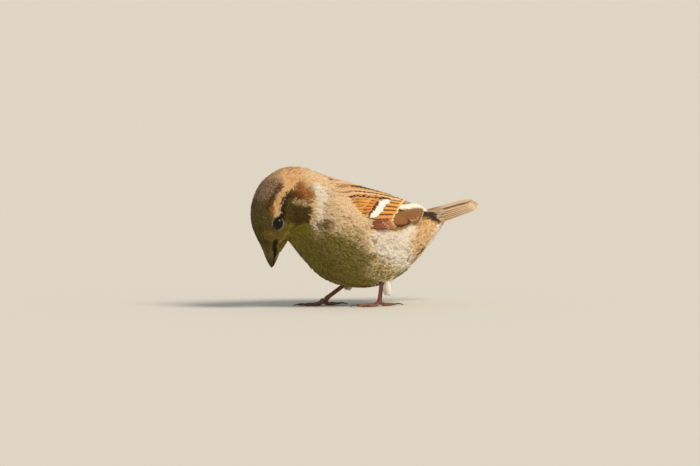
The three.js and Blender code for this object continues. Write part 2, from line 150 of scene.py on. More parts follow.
def make_object(name, points, faces, material=None, attributes=(), flat=False):
    """points are millimetres on the bird; attributes are (name, kind, values) at the points."""
    mesh = bpy.data.meshes.new(name)
    points = to_frame(points)
    sizes = np.array([len(f) for f in faces], np.int32)
    corners = np.concatenate([np.asarray(f, np.int32) for f in faces])
    mesh.vertices.add(len(points))
    mesh.vertices.foreach_set("co", points.astype(np.float32).ravel())
    mesh.loops.add(len(corners))
    mesh.loops.foreach_set("vertex_index", corners)
    mesh.polygons.add(len(faces))
    starts = np.concatenate([[0], np.cumsum(sizes)[:-1]]).astype(np.int32)
    mesh.polygons.foreach_set("loop_start", starts)
    mesh.update(calc_edges=True)
    mesh.validate()
    mesh.polygons.foreach_set("use_smooth", np.full(len(mesh.polygons), not flat))
    for key, kind, values in attributes:
        store(mesh, key, kind, values)
    made = bpy.data.objects.new(name, mesh)
    bpy.context.scene.collection.objects.link(made)
    if material:
        mesh.materials.append(material)
    return made


def points_of(mesh):
    """A mesh's points as an array, in millimetres on the bird."""
    co = np.empty(len(mesh.vertices) * 3, np.float32)
    mesh.vertices.foreach_get("co", co)
    return on_bird(co.reshape(-1, 3))


def normals_of(mesh):
    """A mesh's outward directions at its points."""
    directions = np.empty(len(mesh.vertices) * 3, np.float32)
    mesh.vertex_normals.foreach_get("vector", directions)
    return directions.reshape(-1, 3).astype(float)


def set_points(mesh, points):
    """Moves a mesh's points to new places, in millimetres on the bird."""
    mesh.vertices.foreach_set("co", to_frame(points).astype(np.float32).ravel())
    mesh.update()


def finished(made):
    """Bakes an object's modifiers into a plain mesh."""
    graph = bpy.context.evaluated_depsgraph_get()
    mesh = bpy.data.meshes.new_from_object(made.evaluated_get(graph))
    made.modifiers.clear()
    made.data = mesh
    return made

# %% [markdown]
# ## The form
#
# The coat's outer surface is the union of the solids. Copies of them are joined, swollen until
# the thin cuts and the beds of the wings close, remeshed into one surface and shrunk back.
# Every feather is later placed by this form.

# %% Close the solids into one form
def remeshed(made, voxel, rounds):
    """Voxel remesh, then smoothing, both in millimetres."""
    mesher = made.modifiers.new("mesh", "REMESH")
    mesher.mode = "VOXEL"
    mesher.voxel_size = voxel * MM
    smoother = made.modifiers.new("smooth", "SMOOTH")
    smoother.factor = 0.5
    smoother.iterations = rounds
    return finished(made)


def grown(made, amount):
    """Moves every point outwards by amount, in millimetres."""
    set_points(made.data, points_of(made.data) + normals_of(made.data) * amount)
    return made


FLESH = ["head", "neck", "trunk", "thigh_left", "thigh_right"]
WINGS = {
    side: [f"wing_{side}_{part}" for part in ("coverts", "tertials", "flight")]
    for side in ("left", "right")
}
joined = bmesh.new()
for node_name in [*FLESH, *WINGS["left"], *WINGS["right"], "eye_left", "eye_right"]:
    joined.from_mesh(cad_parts[node_name].data)
bmesh.ops.remove_doubles(joined, verts=joined.verts, dist=1e-5)
form_mesh = bpy.data.meshes.new("form")
joined.to_mesh(form_mesh)
joined.free()
form = bpy.data.objects.new("form", form_mesh)
bpy.context.scene.collection.objects.link(form)
SWELL = 1.1  # millimetres: the cuts and the wings' edges close, the outline stays
remeshed(form, 0.6, 2)
grown(form, SWELL)
remeshed(form, 0.6, 6)
grown(form, -SWELL)
remeshed(form, 0.7, 10)
print("form has", len(form.data.polygons), "faces")

form_tree = BVHTree.FromPolygons(
    [Vector(p) for p in points_of(form.data)],
    [tuple(p.vertices) for p in form.data.polygons],
)

# %% [markdown]
# ## How the coat lies
#
# Feathers point from the bill to the tail along a few flow lines of the side view: over the
# crown and back, through the middle, and round the throat under the belly. The lie at any point
# blends the directions of the nearest stretches, laid flat on the skin.

# %% Flow lines of the coat, in x and z
FLOW = [
    [(-49, 33), (-53.5, 43), (-53, 56), (-47, 67), (-34, 73.5),
     (-16, 70), (4, 64), (25, 58), (43, 51), (60, 48)],
    [(-46, 34), (-47.5, 45), (-44.5, 57), (-36, 65), (-22, 64),
     (-6, 58), (12, 52), (30, 48), (45, 45), (60, 46.5)],
    [(-42, 34), (-41.5, 43), (-38.5, 51), (-31, 55), (-22, 51),
     (-8, 43), (8, 37), (25, 35), (42, 40), (58, 46)],
    [(-39, 33), (-38, 39), (-34.5, 43), (-28, 41), (-20, 34),
     (-6, 24), (10, 19), (26, 20), (41, 30), (56, 43)],
    [(-37.5, 32.5), (-36.5, 35.8), (-34, 36.5), (-30, 33), (-20, 22),
     (-8, 13.2), (5, 9.4), (21, 10.4), (38, 21), (57, 42)],
]


def flow_samples(step=1.5):
    """Points along the flow lines, about step millimetres apart, with the direction there."""
    places, ways = [], []
    for line in FLOW:
        line = np.array(line, float)
        for a, b in zip(line[:-1], line[1:]):
            count = max(2, int(np.hypot(*(b - a)) / step))
            shares = (np.arange(count) + 0.5) / count
            places.append(a + (b - a) * shares[:, None])
            ways.append(np.tile(unit(b - a), (count, 1)))
    return np.concatenate(places), np.concatenate(ways)


FLOW_PLACES, FLOW_WAYS = flow_samples()


def lie(points, normals, reach=3.2):
    """The direction in which feathers lie at points with the given outward directions."""
    points, normals = np.asarray(points, float), np.asarray(normals, float)
    side = points[:, [0, 2]]
    gap = ((side[:, None, :] - FLOW_PLACES[None]) ** 2).sum(2)
    weight = np.exp(-(gap - gap.min(1, keepdims=True)) / (2 * reach**2))
    flow = weight @ FLOW_WAYS
    way = np.stack([flow[:, 0], np.zeros(len(flow)), flow[:, 1]], 1)
    way -= normals * (way * normals).sum(1, keepdims=True)
    return unit(way)


print("flow samples", len(FLOW_PLACES))

# %% [markdown]
# ## Where the folded wing shows
#
# Soft feathers from the side of the breast lie over the bend of the wing, so the wing shows only
# behind a slanting line. Places round the body are told by x and by an angle above a level line.

# %% The line in front of the visible wing
AXIS_Z = 40.0  # height of the level line, along the bird, from which angles are told
BEND = [(-14, 56), (-7.5, 46), (-3.5, 39.5), (0.5, 34), (3.6, 20), (5, 6), (8, -6)]  # x and angle


def nearest(tree, points):
    """Nearest places on a surface with their outward directions and distances."""
    found = [tree.find_nearest(Vector(p)) for p in points]
    places = np.array([f[0] for f in found])
    ways = np.array([f[1] for f in found])
    gaps = np.array([f[3] for f in found])
    return places, ways, gaps


def behind_bend(points):
    """How far each point lies behind the line, in millimetres along the bird."""
    start, angle = np.array(BEND, float).T
    here = np.degrees(np.arctan2(points[:, 2] - AXIS_Z, np.abs(points[:, 1])))
    return points[:, 0] - np.interp(-here, -angle, start)


wing_points, wing_faces = [], []
for node_name in [*WINGS["left"], *WINGS["right"]]:
    node_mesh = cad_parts[node_name].data
    wing_faces += [[v + len(wing_points) for v in p.vertices] for p in node_mesh.polygons]
    wing_points += [Vector(p) for p in points_of(node_mesh)]
wing_tree = BVHTree.FromPolygons(wing_points, wing_faces)


def under_wing(points, inner, outer):
    """1 where the folded wing shows over a point, 0 beyond outer millimetres from it."""
    gap = nearest(wing_tree, points)[2]
    return (1 - smooth(inner, outer, gap)) * smooth(-0.3, 0.9, behind_bend(points))


print("wing plates have", len(wing_faces), "faces")

# %% [markdown]
# ## One way to add a node
#
# Materials and Geometry Nodes trees are both graphs of nodes, so one function builds them all.

# %% Add a node with its settings and links
def node(tree, kind, inputs=None, **settings):
    """inputs are by name or number: a socket, or a node's first output, is linked, others are set."""
    made = tree.nodes.new(kind)
    for key, value in settings.items():
        setattr(made, key, value)
    for key, value in (inputs or {}).items():
        if isinstance(value, bpy.types.Node):
            value = value.outputs[0]
        if isinstance(value, bpy.types.NodeSocket):
            tree.links.new(value, made.inputs[key])
        else:
            made.inputs[key].default_value = value
    return made

# %% [markdown]
# ## The skin
#
# A bird's skin lies under its coat, so the skin here is the form drawn in by the depth of the
# feathers: a fraction of a millimetre on the face and over a millimetre on the body. Round each eye
# it is drawn in a little more, which leaves the ball standing in its lids. One skin stands for
# head, neck, trunk and thighs, so no seam shows between them.

# %% Depth of the coat, and the skin
def spread(points, places):
    """Distance of each point to the nearest of some places, left and right alike."""
    points, places = np.abs(points * [0, 1, 0]) + points * [1, 0, 1], np.atleast_2d(places)
    return np.sqrt(((points[:, None, :] - places[None]) ** 2).sum(2)).min(1)


def coat_depth(points):
    """How far the skin lies inside the form, in millimetres."""
    on_body = smooth(18, 27, spread(points, (-41, 0, 51)))  # beyond the head
    on_face = 1 - smooth(6, 14, spread(points, (-44, 0, 34)))  # round the bill
    by_eye = 1 - smooth(2.6, 4.2, spread(points, EYE + [0, 3, 0]))  # from the ball's outer side
    on_thigh = (1 - smooth(17, 23, points[:, 2])) * smooth(6, 8, abs(points[:, 1]))
    depth = np.maximum(0.8 + 0.5 * on_body - 0.4 * on_face, 0.4)
    depth += 0.85 * by_eye
    depth += 0.8 * under_wing(points, 0.3, 2.5)
    depth -= 0.7 * on_thigh
    return np.clip(depth, 0.35, 2.2)


form_points = points_of(form.data)
form_ways = normals_of(form.data)
form_depth = coat_depth(form_points)
skin = bpy.data.objects.new("skin", form.data.copy())
bpy.context.scene.collection.objects.link(skin)
set_points(skin.data, form_points - form_ways * form_depth[:, None])
settle = skin.modifiers.new("settle", "SMOOTH")
settle.factor = 0.5
settle.iterations = 3
finished(skin)
form.hide_render = True
print("skin has", len(skin.data.polygons), "faces")
print("drawn in by", form_depth.min().round(2), "to", form_depth.max().round(2), "mm")

# %% [markdown]
# ## Plumage colours
#
# A hen sparrow's pattern is a few soft patches: an olive-brown cap, a buff brow over the eye, a
# dark line behind it, brown ear coverts with a cream crescent behind them, a peach nape and a plain
# breast that pales to cream under the tail. A real breast is grey-buff. Here face, cheek, throat,
# breast and belly also carry painted light and shade: the olive of sunlight thrown up by grass, and
# a painted darkening for the shade under head and body, so in plain light they look greener and
# darker than a living bird's. Each patch is a line of landmarks on the bird with a reach, and skin
# and feathers both take their colours from the same patches.

# %% Patches of colour
def along_line(points, line):
    """Distance of each point to a line of landmarks, on either side of the bird."""
    points = points * [1, 0, 1] + np.abs(points * [0, 1, 0])
    line = np.array(line, float)
    if len(line) == 1:
        return np.sqrt(((points - line[0]) ** 2).sum(1))
    best = np.full(len(points), 1e9)
    for a, b in zip(line[:-1], line[1:]):
        share = ((points - a) @ (b - a)) / ((b - a) @ (b - a))
        foot = a + np.clip(share, 0, 1)[:, None] * (b - a)
        best = np.minimum(best, np.sqrt(((points - foot) ** 2).sum(1)))
    return best


# name, full within, gone beyond, colour, colour of the feather's edge, landmarks (x, y, z)
PATCHES = [
    # painted shade and painted light from grass: breast and belly are darker and more olive than a real
    # hen's grey-buff
    ("breast", 15, 27, "#6e6026", "#817332",
     [(-30, 0, 40), (-24, 0, 24), (-12, 0, 14), (6, 0, 10)]),
    ("belly", 9, 18, "#7a6b28", "#92823e", [(4, 0, 10), (18, 0, 9)]),
    ("side of the breast", 5, 12, "#b39a6e", "#cdb58a", [(-18, 16, 44), (-8, 19, 40), (2, 20, 32)]),
    ("flank", 7, 15, "#a08c60", "#cdb990", [(4, 20, 32), (14, 20, 28), (26, 16, 30)]),
    # painted shade and painted light from grass, as on the breast: the side of the belly is darker and
    # olive
    ("side of the belly", 3.5, 9.5, "#736428", "#8b7c3e",
     [(-18, 15.5, 34), (-9.5, 19, 30), (0.6, 19, 22.5), (7, 16, 16)]),
    ("thigh side", 4, 9, "#8f7f48", "#c4b27e", [(8, 18, 19), (18, 15, 16)]),
    ("white of the flank", 3.2, 9.5, "#f6e4c8", "#fffaf0", [(12, 21, 33), (21, 18.5, 28), (30, 15, 25)]),
    ("before the wing", 5.5, 9, "#d8b78b", "#ecd2a9",
     [(-9, 17.5, 55), (0, 20, 53), (7, 21, 47), (8, 22, 41), (5, 22, 39)]),
    ("below the wing", 2.2, 6.5, "#f8e7cb", "#fdf3e2",
     [(6, 21.7, 38), (12, 21.6, 36.5), (20, 20.5, 34.5), (30, 17, 38)]),
    ("vent", 6, 12, "#cba577", "#ddba8c", [(36, 11, 33), (44, 9, 37), (50, 6, 41)]),
    ("side of the rump", 3, 7, "#c79a63", "#dcb27c", [(37, 13, 45), (48, 9, 43)]),
    ("white under the tail", 2.9, 4.6, "#fff2d6", "#fffaf0",
     [(43.4, 7, 29.5), (47.4, 6.8, 34.5), (51.4, 6, 39.5)]),
    ("dark before the vent", 1.0, 2.8, "#64502a", "#857040", [(37.2, 12.8, 27.3), (40, 11, 28.7)]),
    ("hind neck", 9, 17, "#cb9a6b", "#dcae82", [(-30, 0, 71), (-18, 0, 69), (-8, 4, 66)]),
    ("neck side", 6, 13, "#d6b48a", "#ead0a8", [(-18, 17, 55), (-12, 19, 50), (-6, 18, 56)]),
    ("rump", 8, 15, "#a28766", "#bca17e", [(28, 0, 57), (44, 0, 51), (54, 0, 48)]),
    # painted shade and painted light from grass on the face: crown, forehead, throat, lores, side of the
    # head, ear coverts and lower cheek are darker and more olive than a real hen's
    ("crown", 11.5, 15, "#584a26", "#716135", [(-54, 0, 42), (-54, 0, 52), (-50, 0, 62), (-44, 0, 68)]),
    ("top of the crown", 5, 8.5, "#775c42", "#a88c6c", [(-49, 4, 62), (-44, 5, 66.5), (-38, 5, 70)]),
    ("back of the crown", 2.8, 6.0, "#a98459", "#cfac80", [(-43, 1, 70), (-39, 2, 71), (-34, 1, 72)]),
    ("forehead", 6, 9, "#564a1c", "#6c5e28", [(-50, 0, 36), (-52.5, 0, 40)]),
    ("nape", 4.5, 8.5, "#d9a76c", "#e9be8c", [(-35, 8, 68), (-29, 8, 70)]),
    ("back of the neck", 4, 8, "#e4bf90", "#f3d9b2", [(-23, 9, 70), (-18, 12, 66)]),
    ("throat", 5, 9, "#7e6e20", "#907f2e", [(-37, 0, 33), (-34, 0, 38), (-29, 0, 38)]),
    ("lores", 2.4, 4.6, "#765f22", "#98803e", [(-48, 7, 38.3), (-45, 7.6, 37.4)]),
    ("side of the head", 7, 11, "#665219", "#7e6a2b", [(-40, 10, 50), (-33, 11, 53)]),
    ("ear coverts", 2.9, 4.8, "#45330c", "#5c4816",
     [(-39, 11.3, 55), (-37.2, 11.2, 50.3), (-32.8, 12.2, 49.5),
      (-29.4, 13.6, 49.6), (-31.4, 12, 45), (-36, 10, 45)]),
    ("lower cheek", 2.0, 4.4, "#75651a", "#8c7b28",
     [(-38, 9.6, 41.8), (-31.9, 9.7, 40.5), (-29.4, 12, 42)]),
    ("malar line", 0.8, 2.4, "#94793c", "#a99254", [(-40.4, 8, 36.6), (-37.9, 8.6, 39.5)]),
    ("top of the ear coverts", 1.5, 3.2, "#4e300d", "#664318",
     [(-39.2, 11.4, 59.4), (-35.7, 11.5, 60.1), (-33.4, 12.2, 59.4)]),
    ("upper cheek", 0.7, 2.5, "#a98a60", "#d0b088",
     [(-35.8, 11.8, 55.6), (-32.3, 12.8, 55.7), (-29.6, 13.6, 54.9)]),
    ("chestnut patch", 1.0, 4.4, "#875222", "#ad733a",
     [(-32.4, 11.5, 63.8), (-31.8, 12, 62), (-30.2, 12.8, 61.1), (-28.3, 13.8, 59.3)]),
    ("edge of the cap", 0.6, 2.6, "#553419", "#6f4826",
     [(-42.4, 9.8, 64), (-45.8, 9.8, 60.5), (-48.4, 9, 56.7), (-49.3, 8.7, 53.5)]),
    ("brow", 1.1, 3.0, "#dba765", "#f0c98e",
     [(-45.6, 11, 53.4), (-44.4, 11.2, 56.3), (-42.6, 11, 59.7),
      (-40.4, 10.7, 62.4), (-37.4, 9.7, 65.2)]),
    ("brow over the eye", 1.5, 2.6, "#e8bd7e", "#fbdcaa", [(-45.9, 10.9, 50.3), (-45.5, 11.1, 53.2)]),
    ("front of the brow", 0.5, 1.6, "#9c5d27", "#b57639", [(-48, 9.6, 52.6), (-48, 9.6, 50.6)]),
    ("eye stripe", 0.7, 2.3, "#2b1b0d", "#3a2713",
     [(-41.9, 11.4, 47.6), (-42.5, 11.5, 52.4), (-41.3, 11.5, 56.4), (-39.5, 11.4, 59.4)]),
    ("crescent", 1.2, 3.8, "#ffeed4", "#fff8ea",
     [(-23, 13.2, 63.9), (-20.9, 15.2, 59.5), (-22, 16, 56)]),
    ("crescent below", 1.1, 2.9, "#fbe6c6", "#fff8ea",
     [(-23.9, 15.8, 53), (-23.4, 16.2, 47.6), (-24.8, 15.4, 43.6)]),
    ("shade behind the crescent", 1.1, 4.3, "#5c4722", "#7a6337", [(-23, 16.5, 44.6), (-19.5, 17.6, 44)]),
    ("edge of the cheek", 0.7, 2.2, "#e2b580", "#f4d2a2",
     [(-26.4, 14.6, 56.7), (-26.4, 15.1, 51.3), (-26.9, 14.7, 45.8)]),
    ("eye surround", 3.0, 3.9, "#8c7646", "#aa9560", [(-44.9, 11, 44.8)]),
    # painted shade: the dark of the open mouth's corner, painted on skin and feathers
    ("painted shade at the mouth's corner", 1.0, 2.0, "#1e1408", "#2c1f0c",
     [(-43.9, 6.7, 35.2), (-43.9, 5.2, 32), (-43.6, 3.8, 29.4)]),
    # painted shade: the dark of the nostril's hollow, painted on the feathers over it
    ("painted shade of the nostril", 0.4, 1.4, "#3c2716", "#56391f", [(-48.3, 4.2, 34.3)]),
    ("thigh tuft", 5, 6.5, "#efe4cf", "#fffaf0", [(19, 10, 8.5), (24, 10, 6)]),
]
GROUND, GROUND_EDGE = "#b3a07a", "#c6b48e"  # colours where no patch reaches


def plumage(points):
    """Colours of the feathers rooted at some points: their middles and their edges."""
    core = np.tile(linear(GROUND), (len(points), 1))
    rim = np.tile(linear(GROUND_EDGE), (len(points), 1))
    for _, full, gone, middle, edge, line in PATCHES:
        amount = 1 - smooth(full, gone, along_line(points, line))
        core, rim = blend(core, linear(middle), amount), blend(rim, linear(edge), amount)
    return core, rim


print(len(PATCHES), "patches")

# %% [markdown]
# ## Where each feather is rooted, unrolled
#
# Bakers need every feather to have its own little patch on one flat sheet. The sheet is the skin
# unrolled along the bird: across the sheet runs the angle round a bent middle line, and up the
# sheet runs the way from the bill to the tail.

# %% Unroll the skin
SPINE = np.array([  # x and z of the bent middle line, from the bill to the tail
    (-43, 30), (-42, 44), (-38, 55), (-27, 56), (-10, 46), (10, 38), (30, 38), (48, 42), (66, 47),
], float)
MARGIN = 0.005  # free edge of the flat sheet


def unrolled(points):
    """Places on the flat sheet, both 0 to 1, from the angle and the way along the bird."""
    side, across = points[:, [0, 2]], points[:, 1]
    gaps = np.linalg.norm(np.diff(SPINE, axis=0), axis=1)
    starts = np.concatenate([[0], np.cumsum(gaps)])
    best, way, height = np.full(len(points), 1e9), np.zeros(len(points)), np.zeros(len(points))
    for k, (a, b) in enumerate(zip(SPINE[:-1], SPINE[1:])):
        ahead = (b - a) / gaps[k]
        share = np.clip(((side - a) @ ahead) / gaps[k], 0, 1)
        offset = side - (a + share[:, None] * (b - a))
        gap = (offset**2).sum(1)
        closer = gap < best
        best[closer] = gap[closer]
        way[closer] = (starts[k] + share * gaps[k])[closer]
        height[closer] = (offset @ np.array([-ahead[1], ahead[0]]))[closer]
    turn = np.arctan2(across, -height)
    room = 1 - 2 * MARGIN
    return np.stack([0.5 + turn / (2 * np.pi) * room, MARGIN + room * way / starts[-1]], 1)


def bake_map(mesh, corner_uv):
    """Stores a map for bakers at the corners of the faces."""
    layer = mesh.uv_layers.new(name="OFBake")
    layer.uv.foreach_set("vector", np.clip(corner_uv, 0, 1).astype(np.float32).ravel())


def corner_points(mesh):
    """The vertex at each corner of the faces."""
    corners = np.empty(len(mesh.loops), np.int32)
    mesh.loops.foreach_get("vertex_index", corners)
    return corners


skin_points = points_of(skin.data)
skin_ways = normals_of(skin.data)
# painted shade: the skin between feathers keeps only this share of the plumage's colours, for the shade
# in the gaps and a little for the darker down
IN_SHADE = [0.7, 0.7, 0.7, 1]  # the skin keeps this much of the plumage's colours
store(skin.data, "core", "FLOAT_COLOR", plumage(skin_points)[0] * IN_SHADE)

# a face across the seam has corners at both edges of the sheet: all of them go to the right one
sheet = unrolled(skin_points)[corner_points(skin.data)]
sizes = np.empty(len(skin.data.polygons), np.int32)
skin.data.polygons.foreach_get("loop_total", sizes)
face_of = np.repeat(np.arange(len(sizes)), sizes)
right_most = np.zeros(len(sizes))
np.maximum.at(right_most, face_of, sheet[:, 0])
torn = (right_most[face_of] > 0.75) & (sheet[:, 0] < 0.25)
sheet[torn, 0] = 0.996
bake_map(skin.data, sheet)
print("skin unrolled,", int(torn.sum()), "corners turned back at the seam")

# %% [markdown]
# ## What a feather is made of
#
# A vane is keratin: barbs set side by side on a shaft, each with its own edge colour. One material
# serves the whole coat. It reads, from each feather, the colours of its middle, edge and tip, how
# far they reach, and the place across and along the vane, which also draws the barbs.

# %% The keratin of a vane
def feather_material(name, barbs, roughness):
    """barbs is how many barb lines run along the vane."""
    made = bpy.data.materials.new(name)
    made.use_nodes = True
    tree = made.node_tree
    shader = tree.nodes["Principled BSDF"]
    core, rim, tip, vane, reach = (
        node(tree, "ShaderNodeAttribute", attribute_name=each).outputs
        for each in ("core", "rim", "tip", "vane", "reach")
    )
    place = node(tree, "ShaderNodeSeparateXYZ", {0: vane["Vector"]}).outputs
    reach = node(tree, "ShaderNodeSeparateXYZ", {0: reach["Vector"]}).outputs
    off_shaft = node(tree, "ShaderNodeMath", {0: place[0]}, operation="ABSOLUTE")

    # loose barbs: noise of about 0.6 mm shifts the edge of each colour
    around = node(tree, "ShaderNodeTexCoord").outputs["Object"]
    fray = node(tree, "ShaderNodeTexNoise", {"Vector": around, "Scale": 1600.0, "Detail": 2.0})
    loose = node(tree, "ShaderNodeMath", {0: fray, 1: 0.5, 2: -0.25}, operation="MULTIPLY_ADD")

    # the edge's colour starts beyond reach.x across, with a short blend
    past = node(tree, "ShaderNodeMath", {0: off_shaft, 1: reach[0]}, operation="SUBTRACT")
    past = node(tree, "ShaderNodeMath", {0: past, 1: loose}, operation="ADD")
    edge = {0: past, 1: 5.0, 2: 0.5}
    edge = node(tree, "ShaderNodeMath", edge, operation="MULTIPLY_ADD", use_clamp=True)

    # the tip's colour starts beyond reach.y along, on a line that bows back at the edges
    bow = node(tree, "ShaderNodeMath", {0: off_shaft, 1: off_shaft}, operation="MULTIPLY")
    bow = node(tree, "ShaderNodeMath", {0: bow, 1: 0.12, 2: place[1]}, operation="MULTIPLY_ADD")
    past = node(tree, "ShaderNodeMath", {0: bow, 1: reach[1]}, operation="SUBTRACT")
    past = node(tree, "ShaderNodeMath", {0: loose, 1: 0.3, 2: past}, operation="MULTIPLY_ADD")
    end = {0: past, 1: 14.0, 2: 0.5}
    end = node(tree, "ShaderNodeMath", end, operation="MULTIPLY_ADD", use_clamp=True)
    edged = {0: edge, 6: core["Color"], 7: rim["Color"]}
    edged = node(tree, "ShaderNodeMix", edged, data_type="RGBA").outputs[2]
    tipped = {0: end, 6: edged, 7: tip["Color"]}
    tipped = node(tree, "ShaderNodeMix", tipped, data_type="RGBA").outputs[2]

    # barbs slant forward from the shaft; each barb line is painted a little lighter or darker, a painted
    # sheen for the light that each barb catches
    slant = {0: off_shaft, 1: -0.35, 2: place[1]}
    slant = node(tree, "ShaderNodeMath", slant, operation="MULTIPLY_ADD")
    barb = {0: slant, 1: barbs * 2 * math.pi}
    barb = node(tree, "ShaderNodeMath", barb, operation="MULTIPLY")
    barb = node(tree, "ShaderNodeMath", {0: barb}, operation="SINE")
    shade = node(tree, "ShaderNodeMath", {0: barb, 1: 0.06, 2: 0.97}, operation="MULTIPLY_ADD")

    # within reach.z of the middle runs the bare shaft, a quarter darker
    quill = node(tree, "ShaderNodeMath", {0: off_shaft, 1: reach[2]}, operation="LESS_THAN")
    quill = node(tree, "ShaderNodeMath", {0: quill, 1: 0.25}, operation="MULTIPLY")
    shade = node(tree, "ShaderNodeMath", {0: shade, 1: quill}, operation="SUBTRACT")
    lit = {0: 1.0, 6: tipped, 7: shade}
    lit = node(tree, "ShaderNodeMix", lit, data_type="RGBA", blend_type="MULTIPLY").outputs[2]
    tree.links.new(lit, shader.inputs["Base Color"])
    ridge = node(tree, "ShaderNodeMath", {0: barb, 1: fray}, operation="ADD")
    ridge = {"Height": ridge, "Strength": 0.35, "Distance": 0.00012}
    ridge = node(tree, "ShaderNodeBump", ridge)
    tree.links.new(ridge.outputs[0], shader.inputs["Normal"])
    shader.inputs["Roughness"].default_value = roughness
    shader.inputs["IOR"].default_value = 1.54
    shader.inputs["Specular IOR Level"].default_value = 0.25
    return made


# barbs really stand a third of a millimetre apart, too fine to show at this size, so they are
# drawn as coarse as they need to show: 9 lines on a short downy vane, 26 on a long firm one

# loose barbs part and scatter the light, so downy feathers are matt
downy = feather_material("feather keratin, downy", 9, 0.85)
# barbs zipped into one sheet give wing and tail a faint silky sheen
firm = feather_material("feather keratin, firm vane", 26, 0.62)
print("materials", [downy.name, firm.name])

# %% [markdown]
# ## What shows between the feathers
#
# Under the coat lies grey-brown down on thin skin. It only shows as a dark gap between feathers,
# so it takes the plumage's own colours, darkened, partly as painted shade of the gaps and partly for
# the down's own darker colour, and is fully matt with a fine grain.

# %% Skin under down
skin_stuff = bpy.data.materials.new("skin under down")
skin_stuff.use_nodes = True
skin_tree = skin_stuff.node_tree
skin_shader = skin_tree.nodes["Principled BSDF"]
skin_colour = node(skin_tree, "ShaderNodeAttribute", attribute_name="core")
skin_place = node(skin_tree, "ShaderNodeTexCoord").outputs["Object"]
skin_grain = {"Vector": skin_place, "Scale": 2500.0, "Detail": 3.0}  # grains of 0.4 mm
skin_grain = node(skin_tree, "ShaderNodeTexNoise", skin_grain)
skin_bump = {"Height": skin_grain, "Strength": 0.5, "Distance": 0.0002}
skin_bump = node(skin_tree, "ShaderNodeBump", skin_bump)
skin_tree.links.new(skin_colour.outputs["Color"], skin_shader.inputs["Base Color"])
skin_tree.links.new(skin_bump.outputs[0], skin_shader.inputs["Normal"])
skin_shader.inputs["Roughness"].default_value = 0.9
skin.data.materials.clear()
skin.data.materials.append(skin_stuff)
print("skin wears", skin.data.materials[0].name)

# %% [markdown]
# ## A few vanes to sow
#
# A body feather is a rounded vane with a loose, uneven edge. Thousands of feathers share four
# closed meshes of about fifty triangles: an arched top of rows across the shaft, and a plain
# underside hung from the same rim. The rim is sharp, or the shading would make a pillow of it. At
# two corners the top and the underside split into the same triangle, with no thickness between.

# %% Body vanes, one unit long and wide
ARCH = 0.08  # rise of a vane's middle, as a share of its width


def body_vane(name, seed, ragged):
    """ragged is how far the loose barbs of the tip part, as a share of the vane's length."""
    rng = np.random.default_rng(seed)
    rows, columns = [0.0, 0.42, 0.76, 1.0], [-1, -0.7, -0.36, 0, 0.36, 0.7, 1]
    points, vane = [], []
    for along in rows:
        half = 0.5 * (0.35 + 0.65 * math.sin(math.pi * min(1, 0.15 + 0.5 * along)))
        for k, side in enumerate(columns):
            # every other barb stands out of the tip, the ones between are drawn back
            barb = ragged * (rng.uniform(0.2, 1.0) * (1 if (k + seed) % 2 else -0.6)) * along**4
            y = along * (1 - 0.16 * side * side * along) + barb
            arch = ARCH * (1 - side * side) * (0.4 + 0.6 * along)
            x = side * half * (1 - 0.12 * along**4) + 0.04 * rng.uniform(-1, 1) * along
            points.append((x, y, arch))
            vane.append((side, min(1, max(0, along - 0.08 * side * side)), arch))
    wide, deep = len(columns), len(rows)
    faces = []
    for r in range(deep - 1):
        for c in range(wide - 1):
            a = r * wide + c
            faces.append((a, a + 1, a + wide + 1, a + wide))
    rim_left = [r * wide for r in range(deep)]
    rim_right = [r * wide + wide - 1 for r in range(deep)]
    root_row, tip_row = list(range(wide)), list(range((deep - 1) * wide, deep * wide))
    faces.append((*reversed(root_row), rim_left[1], rim_right[1]))
    for r in range(1, deep - 2):
        faces.append((rim_right[r], rim_left[r], rim_left[r + 1], rim_right[r + 1]))
    faces.append((rim_right[-2], rim_left[-2], *tip_row))
    mesh = bpy.data.meshes.new(name)
    mesh.from_pydata(points, [], faces)
    store(mesh, "vane", "FLOAT_VECTOR", vane)
    borders = (rim_left, rim_right, root_row, tip_row)
    rim = {frozenset(e) for line in borders for e in zip(line[:-1], line[1:])}
    sharp = mesh.attributes.new("sharp_edge", "BOOLEAN", "EDGE")
    sharp.data.foreach_set("value", [frozenset(e.vertices) in rim for e in mesh.edges])
    mesh.update()
    made = bpy.data.objects.new(name, mesh)
    vane_box.objects.link(made)
    return made


vane_box = bpy.data.collections.new("vanes to sow")
vanes = [body_vane(f"vane_{k}", 40 + k, 0.05 + 0.02 * k) for k in range(4)]
print("vanes of", [len(v.data.polygons) for v in vanes], "faces")

# %% [markdown]
# ## Sowing the coat
#
# Geometry Nodes sow roots over the skin no closer than a spacing, lay a vane on each along the lie
# of the coat, and then drape it: every point goes to the nearest place of the skin and stands off
# by a height that grows from root to tip, so that the feathers shingle as on the bird.

# %% The sowing tree
SOWING_INPUTS = {
    "Skin": "NodeSocketGeometry",
    "Spacing": "NodeSocketFloat",
    "Length": "NodeSocketFloat",
    "Width": "NodeSocketFloat",
    "Seed": "NodeSocketInt",
    "Splay": "NodeSocketFloat",
    "Material": "NodeSocketMaterial",
}


